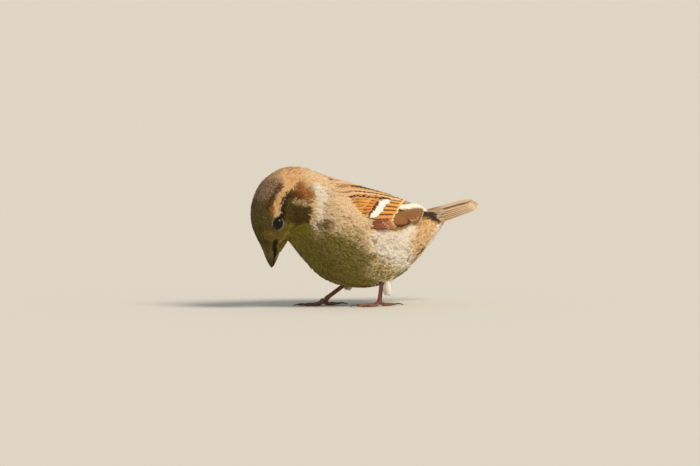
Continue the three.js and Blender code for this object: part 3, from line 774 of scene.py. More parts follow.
def sowing_tree():
    """The skin's attributes up, lie, size, depth and sown steer it, besides its inputs."""
    tree = bpy.data.node_groups.new("sown feathers", "GeometryNodeTree")
    for label, kind in SOWING_INPUTS.items():
        tree.interface.new_socket(label, in_out="INPUT", socket_type=kind)
    tree.interface.new_socket("Feathers", in_out="OUTPUT", socket_type="NodeSocketGeometry")
    given = node(tree, "NodeGroupInput").outputs
    here = node(tree, "GeometryNodeInputPosition")
    known = {}
    for name, kind in (("sown", "FLOAT"), ("up", "FLOAT_VECTOR"), ("lie", "FLOAT_VECTOR"),
                       ("size", "FLOAT"), ("depth", "FLOAT"), ("chance", "FLOAT"),
                       ("vane", "FLOAT_VECTOR")):
        known[name] = node(tree, "GeometryNodeInputNamedAttribute", {"Name": name}, data_type=kind)

    # three draws for each feather: a lasting chance, its turn and its size
    draws = []
    for step, (low, high) in enumerate(((0, 1), (-1, 1), (0.82, 1.18)), 1):
        seed = {0: given["Seed"], 1: step}
        seed = node(tree, "FunctionNodeIntegerMath", seed, operation="ADD")
        draw = {"Seed": seed, 2: low, 3: high}
        draws.append(node(tree, "FunctionNodeRandomValue", draw, data_type="FLOAT").outputs[1])

    # roots, no closer than the spacing
    sown = node(
        tree,
        "GeometryNodeDistributePointsOnFaces",
        {
            "Mesh": given["Skin"],
            "Distance Min": given["Spacing"],
            "Density Max": 4e6,
            "Density Factor": known["sown"],
            "Seed": given["Seed"],
        },
        distribute_method="POISSON",
    )
    sown = {"Geometry": sown, "Name": "root", "Value": here}
    sown = node(tree, "GeometryNodeStoreNamedAttribute", sown, data_type="FLOAT_VECTOR")
    sown = {"Geometry": sown, "Name": "chance", "Value": draws[0]}
    sown = node(tree, "GeometryNodeStoreNamedAttribute", sown)

    # each vane stands up from the skin, points along the lie and turns by its own splay
    turned = {"Primary Axis": known["up"], "Secondary Axis": known["lie"]}
    axes = {"primary_axis": "Z", "secondary_axis": "Y"}
    turned = node(tree, "FunctionNodeAxesToRotation", turned, **axes)
    splay = {0: draws[1], 1: given["Splay"]}
    splay = node(tree, "ShaderNodeMath", splay, operation="MULTIPLY")
    splay = node(tree, "ShaderNodeCombineXYZ", {2: splay})
    splay = node(tree, "FunctionNodeEulerToRotation", {0: splay})
    turned = {0: turned, 1: splay}
    turned = node(tree, "FunctionNodeRotateRotation", turned, rotation_space="LOCAL")
    size = {0: known["size"], 1: draws[2]}
    size = node(tree, "ShaderNodeMath", size, operation="MULTIPLY")
    wide = node(tree, "ShaderNodeMath", {0: given["Width"], 1: size}, operation="MULTIPLY")
    long = node(tree, "ShaderNodeMath", {0: given["Length"], 1: size}, operation="MULTIPLY")
    grown_to = node(tree, "ShaderNodeCombineXYZ", {0: wide, 1: long, 2: wide})

    # one of the vanes on each root
    shapes = {"Separate Children": True, "Reset Children": True, "Collection": vane_box}
    shapes = node(tree, "GeometryNodeCollectionInfo", shapes)
    pick = {"Seed": given["Seed"], 4: 0, 5: len(vanes) - 1}
    pick = node(tree, "FunctionNodeRandomValue", pick, data_type="INT").outputs[2]
    laid = node(
        tree,
        "GeometryNodeInstanceOnPoints",
        {
            "Points": sown,
            "Instance": shapes,
            "Pick Instance": True,
            "Instance Index": pick,
            "Rotation": turned,
            "Scale": grown_to,
        },
    )
    laid = node(tree, "GeometryNodeRealizeInstances", {0: laid})

    # drape: the nearest place of the skin, and how high above it each point stands
    near = {"data_type": "FLOAT_VECTOR"}
    ground = {"Mesh": given["Skin"], "Value": here, "Sample Position": here}
    ground = node(tree, "GeometryNodeSampleNearestSurface", ground, **near)
    outward = {"Mesh": given["Skin"], "Value": known["up"], "Sample Position": here}
    outward = node(tree, "GeometryNodeSampleNearestSurface", outward, **near)
    vane = node(tree, "ShaderNodeSeparateXYZ", {0: known["vane"]}).outputs
    along = node(tree, "ShaderNodeMath", {0: vane[1], 1: 0.0}, operation="MAXIMUM")
    rise = node(tree, "ShaderNodeMath", {0: along, 1: 0.85}, operation="POWER")
    rise = node(tree, "ShaderNodeMath", {0: rise, 1: 0.86, 2: 0.06}, operation="MULTIPLY_ADD")
    luck = {0: known["chance"], 1: 0.3, 2: 0.8}
    luck = node(tree, "ShaderNodeMath", luck, operation="MULTIPLY_ADD")
    rise = node(tree, "ShaderNodeMath", {0: rise, 1: luck}, operation="MULTIPLY")
    rise = node(tree, "ShaderNodeMath", {0: rise, 1: known["depth"]}, operation="MULTIPLY")
    arch = node(tree, "ShaderNodeMath", {0: vane[2], 1: given["Width"]}, operation="MULTIPLY")
    arch = node(tree, "ShaderNodeMath", {0: arch, 1: known["size"]}, operation="MULTIPLY")
    height = node(tree, "ShaderNodeMath", {0: rise, 1: arch}, operation="ADD")
    stand = {0: outward, "Scale": height}
    stand = node(tree, "ShaderNodeVectorMath", stand, operation="SCALE")
    place = node(tree, "ShaderNodeVectorMath", {0: ground, 1: stand}, operation="ADD")
    draped = node(tree, "GeometryNodeSetPosition", {"Geometry": laid, "Position": place})
    dressed = {"Geometry": draped, "Material": given["Material"]}
    dressed = node(tree, "GeometryNodeSetMaterial", dressed)
    node(tree, "NodeGroupOutput", {0: dressed})
    return tree


sowing = sowing_tree()
print("sowing tree of", len(sowing.nodes), "nodes")

# %% [markdown]
# ## How single feathers differ
#
# No two feathers have quite one colour. Each takes the plumage's colour from a place a little off
# its own, a tone of its own and the tone of its patch, and about one in six has a paler edge.
# Where the breast is ruffled, painted light flecks stand over painted shade, and over the white
# feathers of the flank clouds of painted shade stand for the shadows between the tufts.

# %% Tones of single feathers
RUFFLED = [(-15, 18, 43), (-3, 20.5, 37.5), (7, 20.5, 29), (14, 18, 21)]
SHADOWED_TUFTS = [(12, 21, 32), (22, 18, 27), (32, 14, 22)]
STIR = (917, 1301, 577)  # the sine of a chance times a large number is a chance of its own


def clouds(places, size):
    """Soft random patches about size millimetres across, from -1 to 1."""
    return np.array([noise.noise(Vector(p) / size) for p in places]).clip(-0.6, 0.6) / 0.6


def not_too_bright(colours):
    """Keeps the hue of colours whose brightest channel would pass that of white down."""
    share = np.minimum(1, 0.9 / np.maximum(colours[:, :3].max(1), 1e-6))
    return np.concatenate([colours[:, :3] * share[:, None], np.ones((len(colours), 1))], 1)


def dress(places, luck, wander, mottle, patchy):
    """Colours of the middles and edges of feathers that show at some places."""
    _, first, each = np.unique(luck, return_index=True, return_inverse=True)
    places, luck = places[first], luck[first]
    stray = np.stack([np.sin(luck * factor) for factor in STIR], 1)
    core, rim = plumage(places + wander * stray)
    ruffled = 1 - smooth(4, 10, along_line(places, RUFFLED))
    tone = 1 + mottle * (2 * luck - 1) + patchy * clouds(places, 2.6)
    # painted light and shade: clouds of lighter and darker flecks where the breast is ruffled
    tone = tone + 0.3 * ruffled * clouds(places, 1.2)
    # painted shade: clouds over the flank's white tufts are darkened, browner than grey, for the shadows
    # between the tufts
    tuft_shadow = 1 - smooth(5, 10, along_line(places, SHADOWED_TUFTS))
    down = 0.45 * tuft_shadow * smooth(0.0, 0.8, clouds(places + 40, 1.6))
    pale = 1 + 1.6 * mottle * (np.modf(luck * 37.0)[0] > 0.82)
    tones = tone[:, None] * (1 - down[:, None] * [0.8, 1.0, 1.25])
    core = core * np.append(tones, np.ones((len(luck), 1)), 1)
    rim = rim * np.append(tones * pale[:, None], np.ones((len(luck), 1)), 1)
    return not_too_bright(core)[each], not_too_bright(rim)[each]

# %% [markdown]
# ## Growing one tract
#
# A tract is one run of the tree on a copy of the skin. Two arrays over the skin steer it: the way
# the coat lies, and how high the tips stand, which is less beside the folded wing. Afterwards each
# feather, known by its chance, gets its colours and its own small patch of the flat sheet.

# %% Sow one tract
PIECES = []  # (object, slot, solids that it stands for)
SHOWN = 0.72  # a feather shows its colours about this far along, beyond the ones that cover it
skin_lie = lie(skin_points, skin_ways)
skin_depth = form_depth * (1 - 0.4 * under_wing(form_points, 0.3, 2.5))


def fetch(mesh, name, wide):
    """Reads one attribute, of wide numbers, from a mesh's points."""
    values = np.empty(len(mesh.vertices) * wide, np.float32)
    mesh.attributes[name].data.foreach_get("vector" if wide == 3 else "value", values)
    return values.reshape(-1, 3).astype(float) if wide == 3 else values.astype(float)


def sow(name, amount, size, spacing, length, width, seed, splay, mottle, patchy, reach, wander):
    """amount and size are arrays over the skin; spacing, length and width are millimetres."""
    bed = bpy.data.objects.new(name, skin.data.copy())
    bpy.context.scene.collection.objects.link(bed)
    mesh = bed.data
    mesh.materials.clear()
    store(mesh, "up", "FLOAT_VECTOR", skin_ways)
    store(mesh, "lie", "FLOAT_VECTOR", skin_lie)
    store(mesh, "depth", "FLOAT", skin_depth * MM)
    store(mesh, "size", "FLOAT", size)
    store(mesh, "sown", "FLOAT", amount)
    sower = bed.modifiers.new("sowing", "NODES")
    sower.node_group = sowing
    values = {
        "Spacing": spacing * MM,
        "Length": length * MM,
        "Width": width * MM,
        "Seed": seed,
        "Splay": splay,
        "Material": downy,
    }
    for item in sowing.interface.items_tree:
        if item.in_out == "INPUT" and item.name in values:
            sower[item.identifier] = values[item.name]
    mesh = finished(bed).data
    root, way, vane = (fetch(mesh, each, 3) for each in ("root", "lie", "vane"))
    luck, grown_to = fetch(mesh, "chance", 1), fetch(mesh, "size", 1)
    root = on_bird(root)
    shown = root + unit(way) * (grown_to * length * SHOWN)[:, None]
    core, rim = dress(shown, luck, wander * length, mottle, patchy)
    for each, tones in (("core", core), ("rim", rim), ("tip", rim)):
        store(mesh, each, "FLOAT_COLOR", tones)
    store(mesh, "reach", "FLOAT_VECTOR", np.tile(reach, (len(root), 1)))
    for each in ("root", "chance", "up", "lie", "depth", "size", "sown"):
        if each in mesh.attributes:
            mesh.attributes.remove(mesh.attributes[each])
    corners = corner_points(mesh)
    patch = (vane[corners][:, :2] - [0, 0.5]) * [0.0015, 0.003]  # of the sheet, round the root
    bake_map(mesh, unrolled(root)[corners] + patch)
    PIECES.append((bed, "coat", []))
    mesh.calc_loop_triangles()
    print(name, len(mesh.loop_triangles), "triangles")


print("mean lie", skin_lie.mean(0).round(2))

# %% [markdown]
# ## The tracts of the body coat
#
# Feathers are smallest at the bill, larger over the crown and neck, and longest on flank and vent.
# Each tract has its own spacing; where the folded wings lie nothing is sown.

# %% Sow head, neck, breast, belly, flanks and back
x, y, z = skin_points.T
off_wing = 1 - ((under_wing(form_points, 0.3, 0.4) > 0.5) & (x < 41))
off_eye = smooth(3.3, 3.8, spread(skin_points, EYE + [-0.9, 3, 0]))
off_bill = smooth(32.0, 33.0, z) + (x > -34)
open_coat = np.minimum(off_wing, np.minimum(off_eye, off_bill))
from_bill = spread(skin_points, (-44, 0, 33))
head = (x < -27) & (z > 39) | (x < -31)
face = head & (from_bill < 12)
crown = head & ~face
flank = (x > 0) & (z < 38) & (np.abs(y) > 9)
rear = (x > 14) & ~flank
breast = (z < 34) & ~head & ~rear & ~flank
neck = ~(head | flank | rear | breast)
even = np.ones(len(x))
on_face, on_body = 0.55 + 0.06 * from_bill, 0.8 + 0.3 * smooth(-25, 20, x)

# name, where, size, then spacing, length, width, seed, splay, mottle, patchiness, reach and wander
TRACTS = [
    ("face_feathers", face, on_face, 0.4, 1.9, 0.7, 1, 0.3, 0.28, 0.14, (0.9, 0.95, 0.0), 0.1),
    ("head_feathers", crown, even, 0.58, 3.2, 1.1, 2, 0.28, 0.17, 0.13, (0.75, 0.88, 0.0), 0.1),
    ("neck_feathers", neck, on_body, 0.8, 5.0, 1.95, 3, 0.3, 0.08, 0.08, (0.9, 0.93, 0.0), 0.1),
    ("breast_feathers", breast, on_body, 0.82, 5.3, 1.9, 4, 0.3, 0.1, 0.12, (0.9, 0.93, 0.0), 0.2),
    ("flank_feathers", flank, on_body, 0.85, 6.2, 2.0, 5, 0.45, 0.14, 0.16, (0.85, 0.9, 0.0), 0.25),
    ("rear_feathers", rear, on_body, 0.95, 6.0, 2.5, 6, 0.35, 0.12, 0.14, (0.75, 0.88, 0.0), 0.1),
]
for name, where, size, *rest in TRACTS:
    sow(name, open_coat * where, size, *rest)

# %% [markdown]
# ## Quills laid one by one
#
# Wing and tail feathers are few and each has its own shape, so each is laid one by one: a shaft
# that follows the form from root to tip, and a closed blade of rows and columns over it. The upper
# edge tucks under the feather above it, as the feathers of a folded wing do.

# %% Places and shafts over the form
OUTSIDE = 60  # millimetres from the level line, beyond any part of the bird
PAST_TAIL = 6  # millimetres from the level line, for places where the form has ended


def spot(x, angle):
    """The left side's outermost point at station x, in a direction in degrees above level."""
    way = Vector((0, -math.cos(math.radians(angle)), math.sin(math.radians(angle))))
    axis = Vector((x, 0, AXIS_Z))
    hit = form_tree.ray_cast(axis + way * OUTSIDE, -way)[0]
    return np.array(hit if hit else axis + way * PAST_TAIL)


def shaft(root, tip, rows, bow=0.0):
    """Points along a shaft between two (x, angle) places; bow lifts its middle in degrees."""
    shares = 1 - (1 - np.linspace(0, 1, rows)) ** 1.4
    x = root[0] + (tip[0] - root[0]) * shares
    angle = root[1] + (tip[1] - root[1]) * shares + bow * 4 * shares * (1 - shares)
    return shares, np.array([spot(*p) for p in zip(x, angle)])


def follow(roots, lengths, rows, drifts):
    """Shafts that follow the lie of the coat from their roots; a drift turns one, in radians."""
    place, centres, ups = np.array(roots, float), [], []
    turn = np.array(drifts)[:, None]
    for _ in range(rows):
        place, up, _ = nearest(form_tree, place)
        up = unit(up)
        centres.append(place)
        ups.append(up)
        way = lie(place, up)
        way = way * np.cos(turn) + np.cross(up, way) * np.sin(turn)
        place = place + way * np.array(lengths)[:, None] / (rows - 1)
    return np.stack(centres, 1), np.stack(ups, 1)


print("wing's bend at", np.round(spot(0, 30), 1), "mm")

# %% [markdown]
# ## A bunch of blades
#
# All feathers of one wing are one piece, so their blades are gathered and joined. A blade is a
# grid of points for its upper face, a second one below it and a wall round both. Each blade also
# gets a square of its own on the flat sheet for bakers.

# %% Gather blades into one piece
class Bunch:
    """Collects closed blades and turns them into one piece."""

    def __init__(self, name, cells):
        """cells is how many squares the flat sheet has along each side, one for each blade."""
        self.name, self.cells = name, cells
        self.points, self.faces, self.looks, self.sheet = [], [], [], []
        self.count = self.laid = 0

    def add(self, top, bottom, shares, colours, reach, mirror):
        """top and bottom are points in rows from root to tip and columns across."""
        rows, columns = top.shape[:2]
        both = np.concatenate([top.reshape(-1, 3), bottom.reshape(-1, 3)])
        if mirror:
            both = both * [1, -1, 1]
        grid = np.arange(rows * columns).reshape(rows, columns)
        under = grid + rows * columns
        a, b, c, d = grid[:-1, :-1], grid[:-1, 1:], grid[1:, 1:], grid[1:, :-1]
        faces = np.stack([a, d, c, b], -1).reshape(-1, 4)
        a, b, c, d = under[:-1, :-1], under[:-1, 1:], under[1:, 1:], under[1:, :-1]
        faces = np.concatenate([faces, np.stack([a, b, c, d], -1).reshape(-1, 4)])
        loop = [*grid[0, :-1], *grid[:-1, -1], *grid[-1, :0:-1], *grid[:0:-1, 0]]
        below = rows * columns
        wall = [(p, q, q + below, p + below) for p, q in zip(loop, loop[1:] + loop[:1])]
        faces = np.concatenate([faces, np.array(wall)])
        if mirror:
            faces = faces[:, ::-1]
        across = np.linspace(-1, 1, columns)[None, :].repeat(rows, 0)
        along = shares[:, None].repeat(columns, 1)
        vane = np.stack([across, along, np.zeros_like(across)], -1).reshape(-1, 3)
        edge_reach = np.where(across > 0, reach[0], reach[1])
        tip_reach, shaft_reach = np.full_like(across, reach[2]), np.full_like(across, reach[3])
        reaches = np.stack([edge_reach, tip_reach, shaft_reach], -1).reshape(-1, 3)
        square = np.array([self.laid % self.cells, self.laid // self.cells])
        inside = np.stack([0.5 + 0.42 * vane[:, 0], 0.06 + 0.88 * vane[:, 1]], 1)
        self.points.append(both)
        self.faces.append(faces + self.count)
        self.looks.append([np.tile(vane, (2, 1)), np.tile(reaches, (2, 1)), *colours])
        self.sheet.append(np.tile((square + inside) / self.cells, (2, 1)))
        self.count += len(both)
        self.laid += 1

    def piece(self, stuff, slot_name, stood_for):
        """Makes the object and lists it with its slot and the solids that it stands for."""
        vane, reach = (np.concatenate([look[k] for look in self.looks]) for k in (0, 1))
        core, rim, tip = (
            np.concatenate([np.tile(look[k], (len(look[0]), 1)) for look in self.looks])
            for k in (2, 3, 4)
        )
        rows = [
            ("vane", "FLOAT_VECTOR", vane),
            ("reach", "FLOAT_VECTOR", reach),
            ("core", "FLOAT_COLOR", core),
            ("rim", "FLOAT_COLOR", rim),
            ("tip", "FLOAT_COLOR", tip),
        ]
        points, faces = np.concatenate(self.points), np.concatenate(self.faces)
        made = make_object(self.name, points, faces, stuff, rows)
        made.data.set_sharp_from_angle(angle=math.radians(50))
        bake_map(made.data, np.concatenate(self.sheet)[corner_points(made.data)])
        PIECES.append((made, slot_name, stood_for))
        print(self.name, self.laid, "blades,", 2 * len(faces), "triangles")

# %% [markdown]
# ## One blade
#
# A blade is bent to the form under it, arches over its shaft and is tilted, so that its lower edge
# shows and its upper edge hides. A real vane is far thinner than a tenth of a millimetre, but a
# closed sheet of that thickness keeps its two faces apart.

# %% Lay one blade
def blade_width(shares, blunt, narrow, end, point):
    """The half-width along a blade as a share of its full half-width."""
    wide = narrow + (1 - narrow) * smooth(0, 0.4, shares)
    past = np.clip((shares - blunt) / (1 - blunt), 0, 1)
    return wide * np.maximum((1 - past**2) ** point, end)


def blade(bunch, shares, centre, up, half, rng, *, level, colours, reach, blunt, narrow=0.5,
          camber=0.25, tilt=0.2, columns=7, thick=0.14, form_bound=True, mirror=False, loose=0.0,
          point=0.5, slant=0.0):
    """Lays one blade along the points of centre, which stand at shares of its length.

    half is its half-width, level its height at root and tip, and colours are of middle, edge and
    tip. reach says where upper edge, lower edge, tip and bare shaft begin or end. From blunt on
    it narrows, with a rounder tip the smaller point is; narrow is the width at its root. slant
    carries its upper edge ahead of the lower one, and loose parts the barbs of its tip.
    """
    ahead = unit(np.gradient(centre, axis=0))
    side = unit(np.cross(up, ahead))
    across = np.linspace(-1, 1, columns)
    wide = blade_width(shares, blunt, narrow, 0.4 if loose else 0.07, point) * half
    uneven = 1 + 0.05 * rng.uniform(-1, 1, (len(shares), 2))
    wide = wide[:, None] * np.where(across > 0, uneven[:, :1], uneven[:, 1:])
    flat = centre[:, None, :] + side[:, None, :] * (across * wide)[..., None]
    late = smooth(0.4, 1, shares)
    flat = flat + ahead[:, None, :] * (slant * across * late[:, None])[..., None]
    if loose:
        barbs = rng.uniform(-1, 0.3, columns) * loose
        flat[-1] += ahead[-1] * barbs[:, None]
        flat[-2] += ahead[-2] * barbs[:, None] * 0.4
    if form_bound:
        places, ways, _ = nearest(form_tree, flat.reshape(-1, 3))
        flat, ways = places.reshape(flat.shape), unit(ways).reshape(flat.shape)
    else:
        ways = np.broadcast_to(up[:, None, :], flat.shape)
    height = level[0] + (level[1] - level[0]) * shares[:, None] ** 0.8
    height = height + camber * (1 - across**2) * np.minimum(1, wide / half + 0.2) - tilt * across
    top = flat + ways * height[..., None]
    bottom = flat + ways * (height - thick)[..., None]
    shade = rng.uniform(0.93, 1.07)
    colours = [(linear(c) if isinstance(c, str) else c) * [shade, shade, shade, 1] for c in colours]
    bunch.add(top, bottom, shares, colours, reach, mirror)


def lay(bunch, root, tip, half, mirror, rng, rows=11, bow=0.0, **looks):
    """Lays one blade of the folded wing between two (x, angle) places."""
    shares, centre = shaft(root, tip, rows, bow)
    _, up, _ = nearest(form_tree, centre)
    blade(bunch, shares, centre, unit(up), half, rng, mirror=mirror, **looks)

# %% [markdown]
# ## The folded wing
#
# From below upwards, as they overlap: the ends of the long primaries, the secondaries, the coverts
# of the primaries, the tertials, then greater, median and lesser coverts. A row is told by its
# first and its last feather, and the rest stand evenly between them.

# %% Rows of the wing
def row(bunch, count, root_from, root_to, tip_from, tip_to, half, mirror, rng, *, level,
        lifts=(0.0, 0.0), stray=0.2, **looks):
    """Lays count blades between two (x, angle) roots and two tips, the first one lowest.

    lifts raises the first and the last one, and stray is how far the tips stand out of line.
    """
    for k in range(count):
        share = k / max(1, count - 1)
        root = np.array(root_from) * (1 - share) + np.array(root_to) * share
        tip = np.array(tip_from) * (1 - share) + np.array(tip_to) * share
        root, tip = root + rng.normal(0, 0.12, 2), tip + rng.normal(0, stray, 2)
        lift = lifts[0] + (lifts[1] - lifts[0]) * share
        lay(bunch, root, tip, half, mirror, rng, level=(level[0] + lift, level[1] + lift), **looks)


def fold_wing(side, mirror, seed):
    """Lays every feather of one folded wing."""
    rng = np.random.default_rng(seed)
    wing = Bunch(f"{side}_wing_feathers", 12)

    # ends of the primaries: a fork of two times three narrow dark blades behind the tertials. The lower
    # three, down to 19 degrees, are the primaries' dark tips; the upper three, rising to 42.5 degrees,
    # are a painted shadow: dark blades for the line of shade above the wing's end
    for root, tip, bow in (((27, 34), (52, 19), 9), ((28, 27), (51, 42.5), -6)):
        row(wing, 3, root, (root[0] + 1, root[1] + 1), (tip[0] - 1.6, tip[1] + 1.2), tip, 0.75,
            mirror, rng, level=(-1.3, 0.75), bow=bow, colours=("#2c190b", "#50331a", "#6b4a2a"),
            reach=(0.8, 0.8, 0.98, 0.06), blunt=0.8)

    # secondaries: dark with broad rufous edges and straw tips
    row(wing, 6, (12, 5), (20, 26), (26, 7.5), (38, 27), 2.4, mirror, rng, level=(-0.9, -0.45),
        lifts=(0, 0.15), colours=("#3f2711", "#c27a33", "#e0ac62"), reach=(0.62, 0.36, 0.93, 0.05),
        blunt=0.72)

    # greater, then lesser coverts of the primaries: plain rufous-brown
    row(wing, 5, (4, 5), (7, 13), (18.8, 8), (15.8, 15.5), 1.9, mirror, rng, level=(-0.6, -0.2),
        lifts=(0, 0.15), colours=("#8e5232", "#c07c4c", "#e0a974"), reach=(0.6, 0.5, 0.88, 0.0),
        blunt=0.6)
    row(wing, 4, (3, 5), (5, 12), (14.5, 4.5), (11, 12), 1.6, mirror, rng, level=(-0.5, -0.05),
        lifts=(0, 0.1), colours=("#7c4429", "#a9663f", "#cf9a72"), reach=(0.6, 0.55, 0.9, 0.0),
        blunt=0.55)

    # inner secondaries under the tertials
    row(wing, 3, (16, 19), (19, 33), (32, 15), (36, 24), 2.6, mirror, rng, level=(-0.7, -0.3),
        lifts=(0, 0.15), colours=("#4f2f14", "#c98f4c", "#f3dcb2"), reach=(0.74, 0.62, 0.93, 0.05),
        blunt=0.6)

    # tertials: a big one with a broad cream upper edge, a brown one and a dark-rimmed one
    lay(wing, (17, 24.5), (40.4, 36), 6.3, mirror, rng, rows=14, level=(-0.5, 0.0), bow=-4,
        columns=11, colours=("#8d6434", "#fff4e2", "#fff4e0"), reach=(0.44, 1.2, 0.97, 0.03),
        blunt=0.74, narrow=0.35, point=0.42, slant=3.4)
    lay(wing, (18, 17), (35.6, 20.5), 2.7, mirror, rng, rows=12, level=(-0.4, 0.12), bow=1.5,
        colours=("#8b5c2d", "#b8854c", "#b8854c"), reach=(0.6, 0.55, 0.9, 0.0), blunt=0.6,
        slant=1.2)
    lay(wing, (12, 15), (28.4, 13.5), 3.0, mirror, rng, level=(-0.5, 0.2), blunt=0.6,
        colours=("#93602f", "#54290f", "#54290f"), reach=(0.9, 0.74, 0.87, 0.0))

    # greater coverts: brown streaks between broad orange-buff edges
    row(wing, 7, (5, 15.5), (15, 54), (17.4, 16), (29, 53), 2.4, mirror, rng, level=(-0.6, -0.1),
        lifts=(0, 0.1), colours=("#5a3312", "#e6a251", "#f6dcab"), reach=(0.22, 0.2, 0.92, 0.0),
        blunt=0.66, stray=0.35)

    # median coverts: their white ends make the ragged wing bar
    row(wing, 8, (0, 24), (10, 48), (8.8, 22.5), (18.2, 45), 2.2, mirror, rng,
        level=(-0.45, 0.05), lifts=(0, 0.1), colours=("#5a3418", "#a5632c", "#fffaf0"),
        reach=(0.6, 0.6, 0.47, 0.0), blunt=0.5, stray=0.55, loose=0.25)

    # lesser coverts in tiers up to the bend of the wing: x and angle of the lowest tip, x of the
    # highest tip, colours of middle and edge
    tiers = [
        (3.2, 25, 12.0, "#9a561f", "#df9543"),
        (0.4, 31, 9.0, "#b9752d", "#eeac56"),
        (-2.8, 37, 5.4, "#9f652a", "#dc9e55"),
        (-5.8, 42, 1.8, "#a0703c", "#d7a262"),
    ]
    for number, (low_tip, low_angle, high_tip, middle, edge) in enumerate(tiers):
        row(wing, 7 - number, (low_tip - 6, low_angle), (high_tip - 6, 50), (low_tip, low_angle),
            (high_tip, 49), 1.7, mirror, rng, rows=8, columns=5, level=(-0.4, 0.1), lifts=(0, 0.1),
            colours=(middle, edge, edge), reach=(0.3, 0.22, 0.95, 0.0), blunt=0.4)
    return wing


for side, mirror in (("left", False), ("right", True)):
    fold_wing(side, mirror, 11).piece(firm, "wing", WINGS[side])

# %% [markdown]
# ## Mantle and scapulars
#
# Over shoulders and back the feathers stand in lines. Each has a dark streak along its shaft
# between buff edges, and the streaks of a line run on from feather to feather. Towards the neck
# they fade.

# %% Streaked back
BACK_LINES = [  # angle, first and last x, edge colour, half-width of the streak as a share
    (47, -5, 15, "#dda05c", 0.42),
    (54, -7, 22, "#eec48c", 0.26),
    (62, -8, 24, "#dda05c", 0.48),
    (70, -10, 23, "#eec48c", 0.28),
    (79, -11, 22, "#dda05c", 0.42),
    (90, -12, 21, "#eec48c", 0.28),
]
BACK_STEP = 2.6  # millimetres from one feather of a line to the next


def streak_back():
    """Lays the streaked lines of both sides and the one along the middle of the back."""
    back = Bunch("mantle_feathers", 16)
    rng = np.random.default_rng(23)
    for angle, first, last, edge, wide in BACK_LINES:
        for start in np.arange(last, first, -BACK_STEP):
            for mirror in (False, True):
                if mirror and angle == 90:
                    continue
                jitter = rng.normal(0, 0.4)
                fade = float(smooth(-3, -10, start))
                core = blend(linear("#3a2511"), linear("#d2a67b"), fade)
                rim = blend(linear(edge), linear("#e8bd90"), fade)
                root, tip = (start - 4.5, angle + jitter), (start + 4.3, angle + jitter * 0.5)
                lay(back, root, tip, 2.3, mirror, rng, rows=8, columns=5, level=(-0.4, 0.22),
                    colours=(core, rim, rim), reach=(wide, wide, 1.3, 0.0), blunt=0.5, tilt=0.05)
    return back


streak_back().piece(firm, "wing", [])

# %% [markdown]
# ## Plumes
#
# Under the tail, on the flanks and before the wing, long soft feathers with loose tips stand out
# singly from the coat. They are laid like quills, but along the lie of the coat.

# %% Loose plumes over the coat
def scattered(inside, gap, rng):
    """Points of the form inside a mask, no two nearer than gap."""
    chosen = []
    for place in rng.permutation(form_points[inside]):
        if all(((place - other) ** 2).sum() > gap * gap for other in chosen):
            chosen.append(place)
    return np.array(chosen)


def plumes(name, inside, gap, length, half, seed, level=(-0.7, 0.1), tones=(0.8, 1.1, 1.25),
           splay=0.2, shown=0.75, vary=0.2, lifts=0.0, seen=5):
    """Lays loose feathers rooted gap millimetres or more apart.

    tones brighten the colours of middle, edge and tip, which are read at row seen of the seven
    rows of a shaft. lifts raises some tips at random, and the tip's colour starts at shown.
    """
    rng = np.random.default_rng(seed)
    roots = scattered(inside, gap, rng)
    lengths = length * rng.uniform(0.85, 1.15, len(roots))
    centres, ups = follow(roots, lengths, 7, rng.normal(0, splay, len(roots)))
    bunch = Bunch(name, math.ceil(math.sqrt(len(roots))))
    core, rim = plumage(centres[:, seen])
    for k in np.argsort(-roots[:, 0]):
        shade = 1 + vary * rng.uniform(-1, 1)
        lift = lifts * rng.uniform(0, 1)
        looks = np.array([core[k], rim[k], rim[k]]) * shade * np.array(tones)[:, None]
        wide = half * rng.uniform(0.85, 1.15)
        blade(bunch, np.linspace(0, 1, 7), centres[k], ups[k], wide, rng,
              level=(level[0], level[1] + lift), colours=not_too_bright(looks),
              reach=(0.8, 0.8, shown, 0.0), blunt=0.55, camber=0.2, tilt=0.0, columns=5,
              thick=0.12, loose=0.9)
    bunch.piece(downy, "coat", [])


form_x, form_y, form_z = form_points.T
beneath = (form_ways[:, 2] < 0.1) & (form_z < 42)
plumes("vent_feathers", (form_x > 31) & (form_x < 54) & beneath, 2.6, 8.5, 1.5, 51,
       tones=(1, 1.05, 1.2), shown=0.9, vary=0.1)
low_side = (form_z < 35) & (form_z > 13) & (np.abs(form_y) > 9)
plumes("flank_plumes", (form_x > 6) & (form_x < 36) & low_side, 1.9, 5.6, 0.8, 52,
       level=(-0.8, 0.1), tones=(1.02, 1.16, 1.36), splay=0.7, shown=0.8, vary=0.24, lifts=0.6)

# %% [markdown]
# ## Plumes before the wing
#
# The feathers of the shoulder lap over the front of the folded wing. They are rooted in a strip
# ahead of a line, told by x and angle, that runs a little ahead of the wing's visible front.

# %% Shoulder plumes
SHOULDER = [(-9, 50), (-6.5, 33), (-3, 27), (0, 20), (1.8, 13), (2.4, 0), (2.4, -4)]  # x and angle
STRIP = 8  # width of the strip in millimetres
shoulder_x, shoulder_angle = np.array(SHOULDER, float)[::-1].T
form_angle = np.degrees(np.arctan2(form_z - AXIS_Z, np.abs(form_y)))
before_wing = np.interp(form_angle, shoulder_angle, shoulder_x) - form_x
in_strip = (before_wing > 0) & (before_wing < STRIP) & (form_angle > -4) & (form_angle < 48)
plumes("shoulder_plumes", in_strip, 0.85, 3.9, 0.85, 53, level=(-0.4, 0.35),
       tones=(1.12, 1.15, 1.2), splay=0.25, shown=0.85, vary=0.1, lifts=0.15, seen=0)

# %% [markdown]
# ## Tufts behind the legs
#
# The feathers of the thigh end in a loose white tuft that hangs down behind the bare tarsus. Its
# feathers stand round one line, each turned on from the last one by 2.4 radians, the angle at
# which leaves on a stem hide each other least.

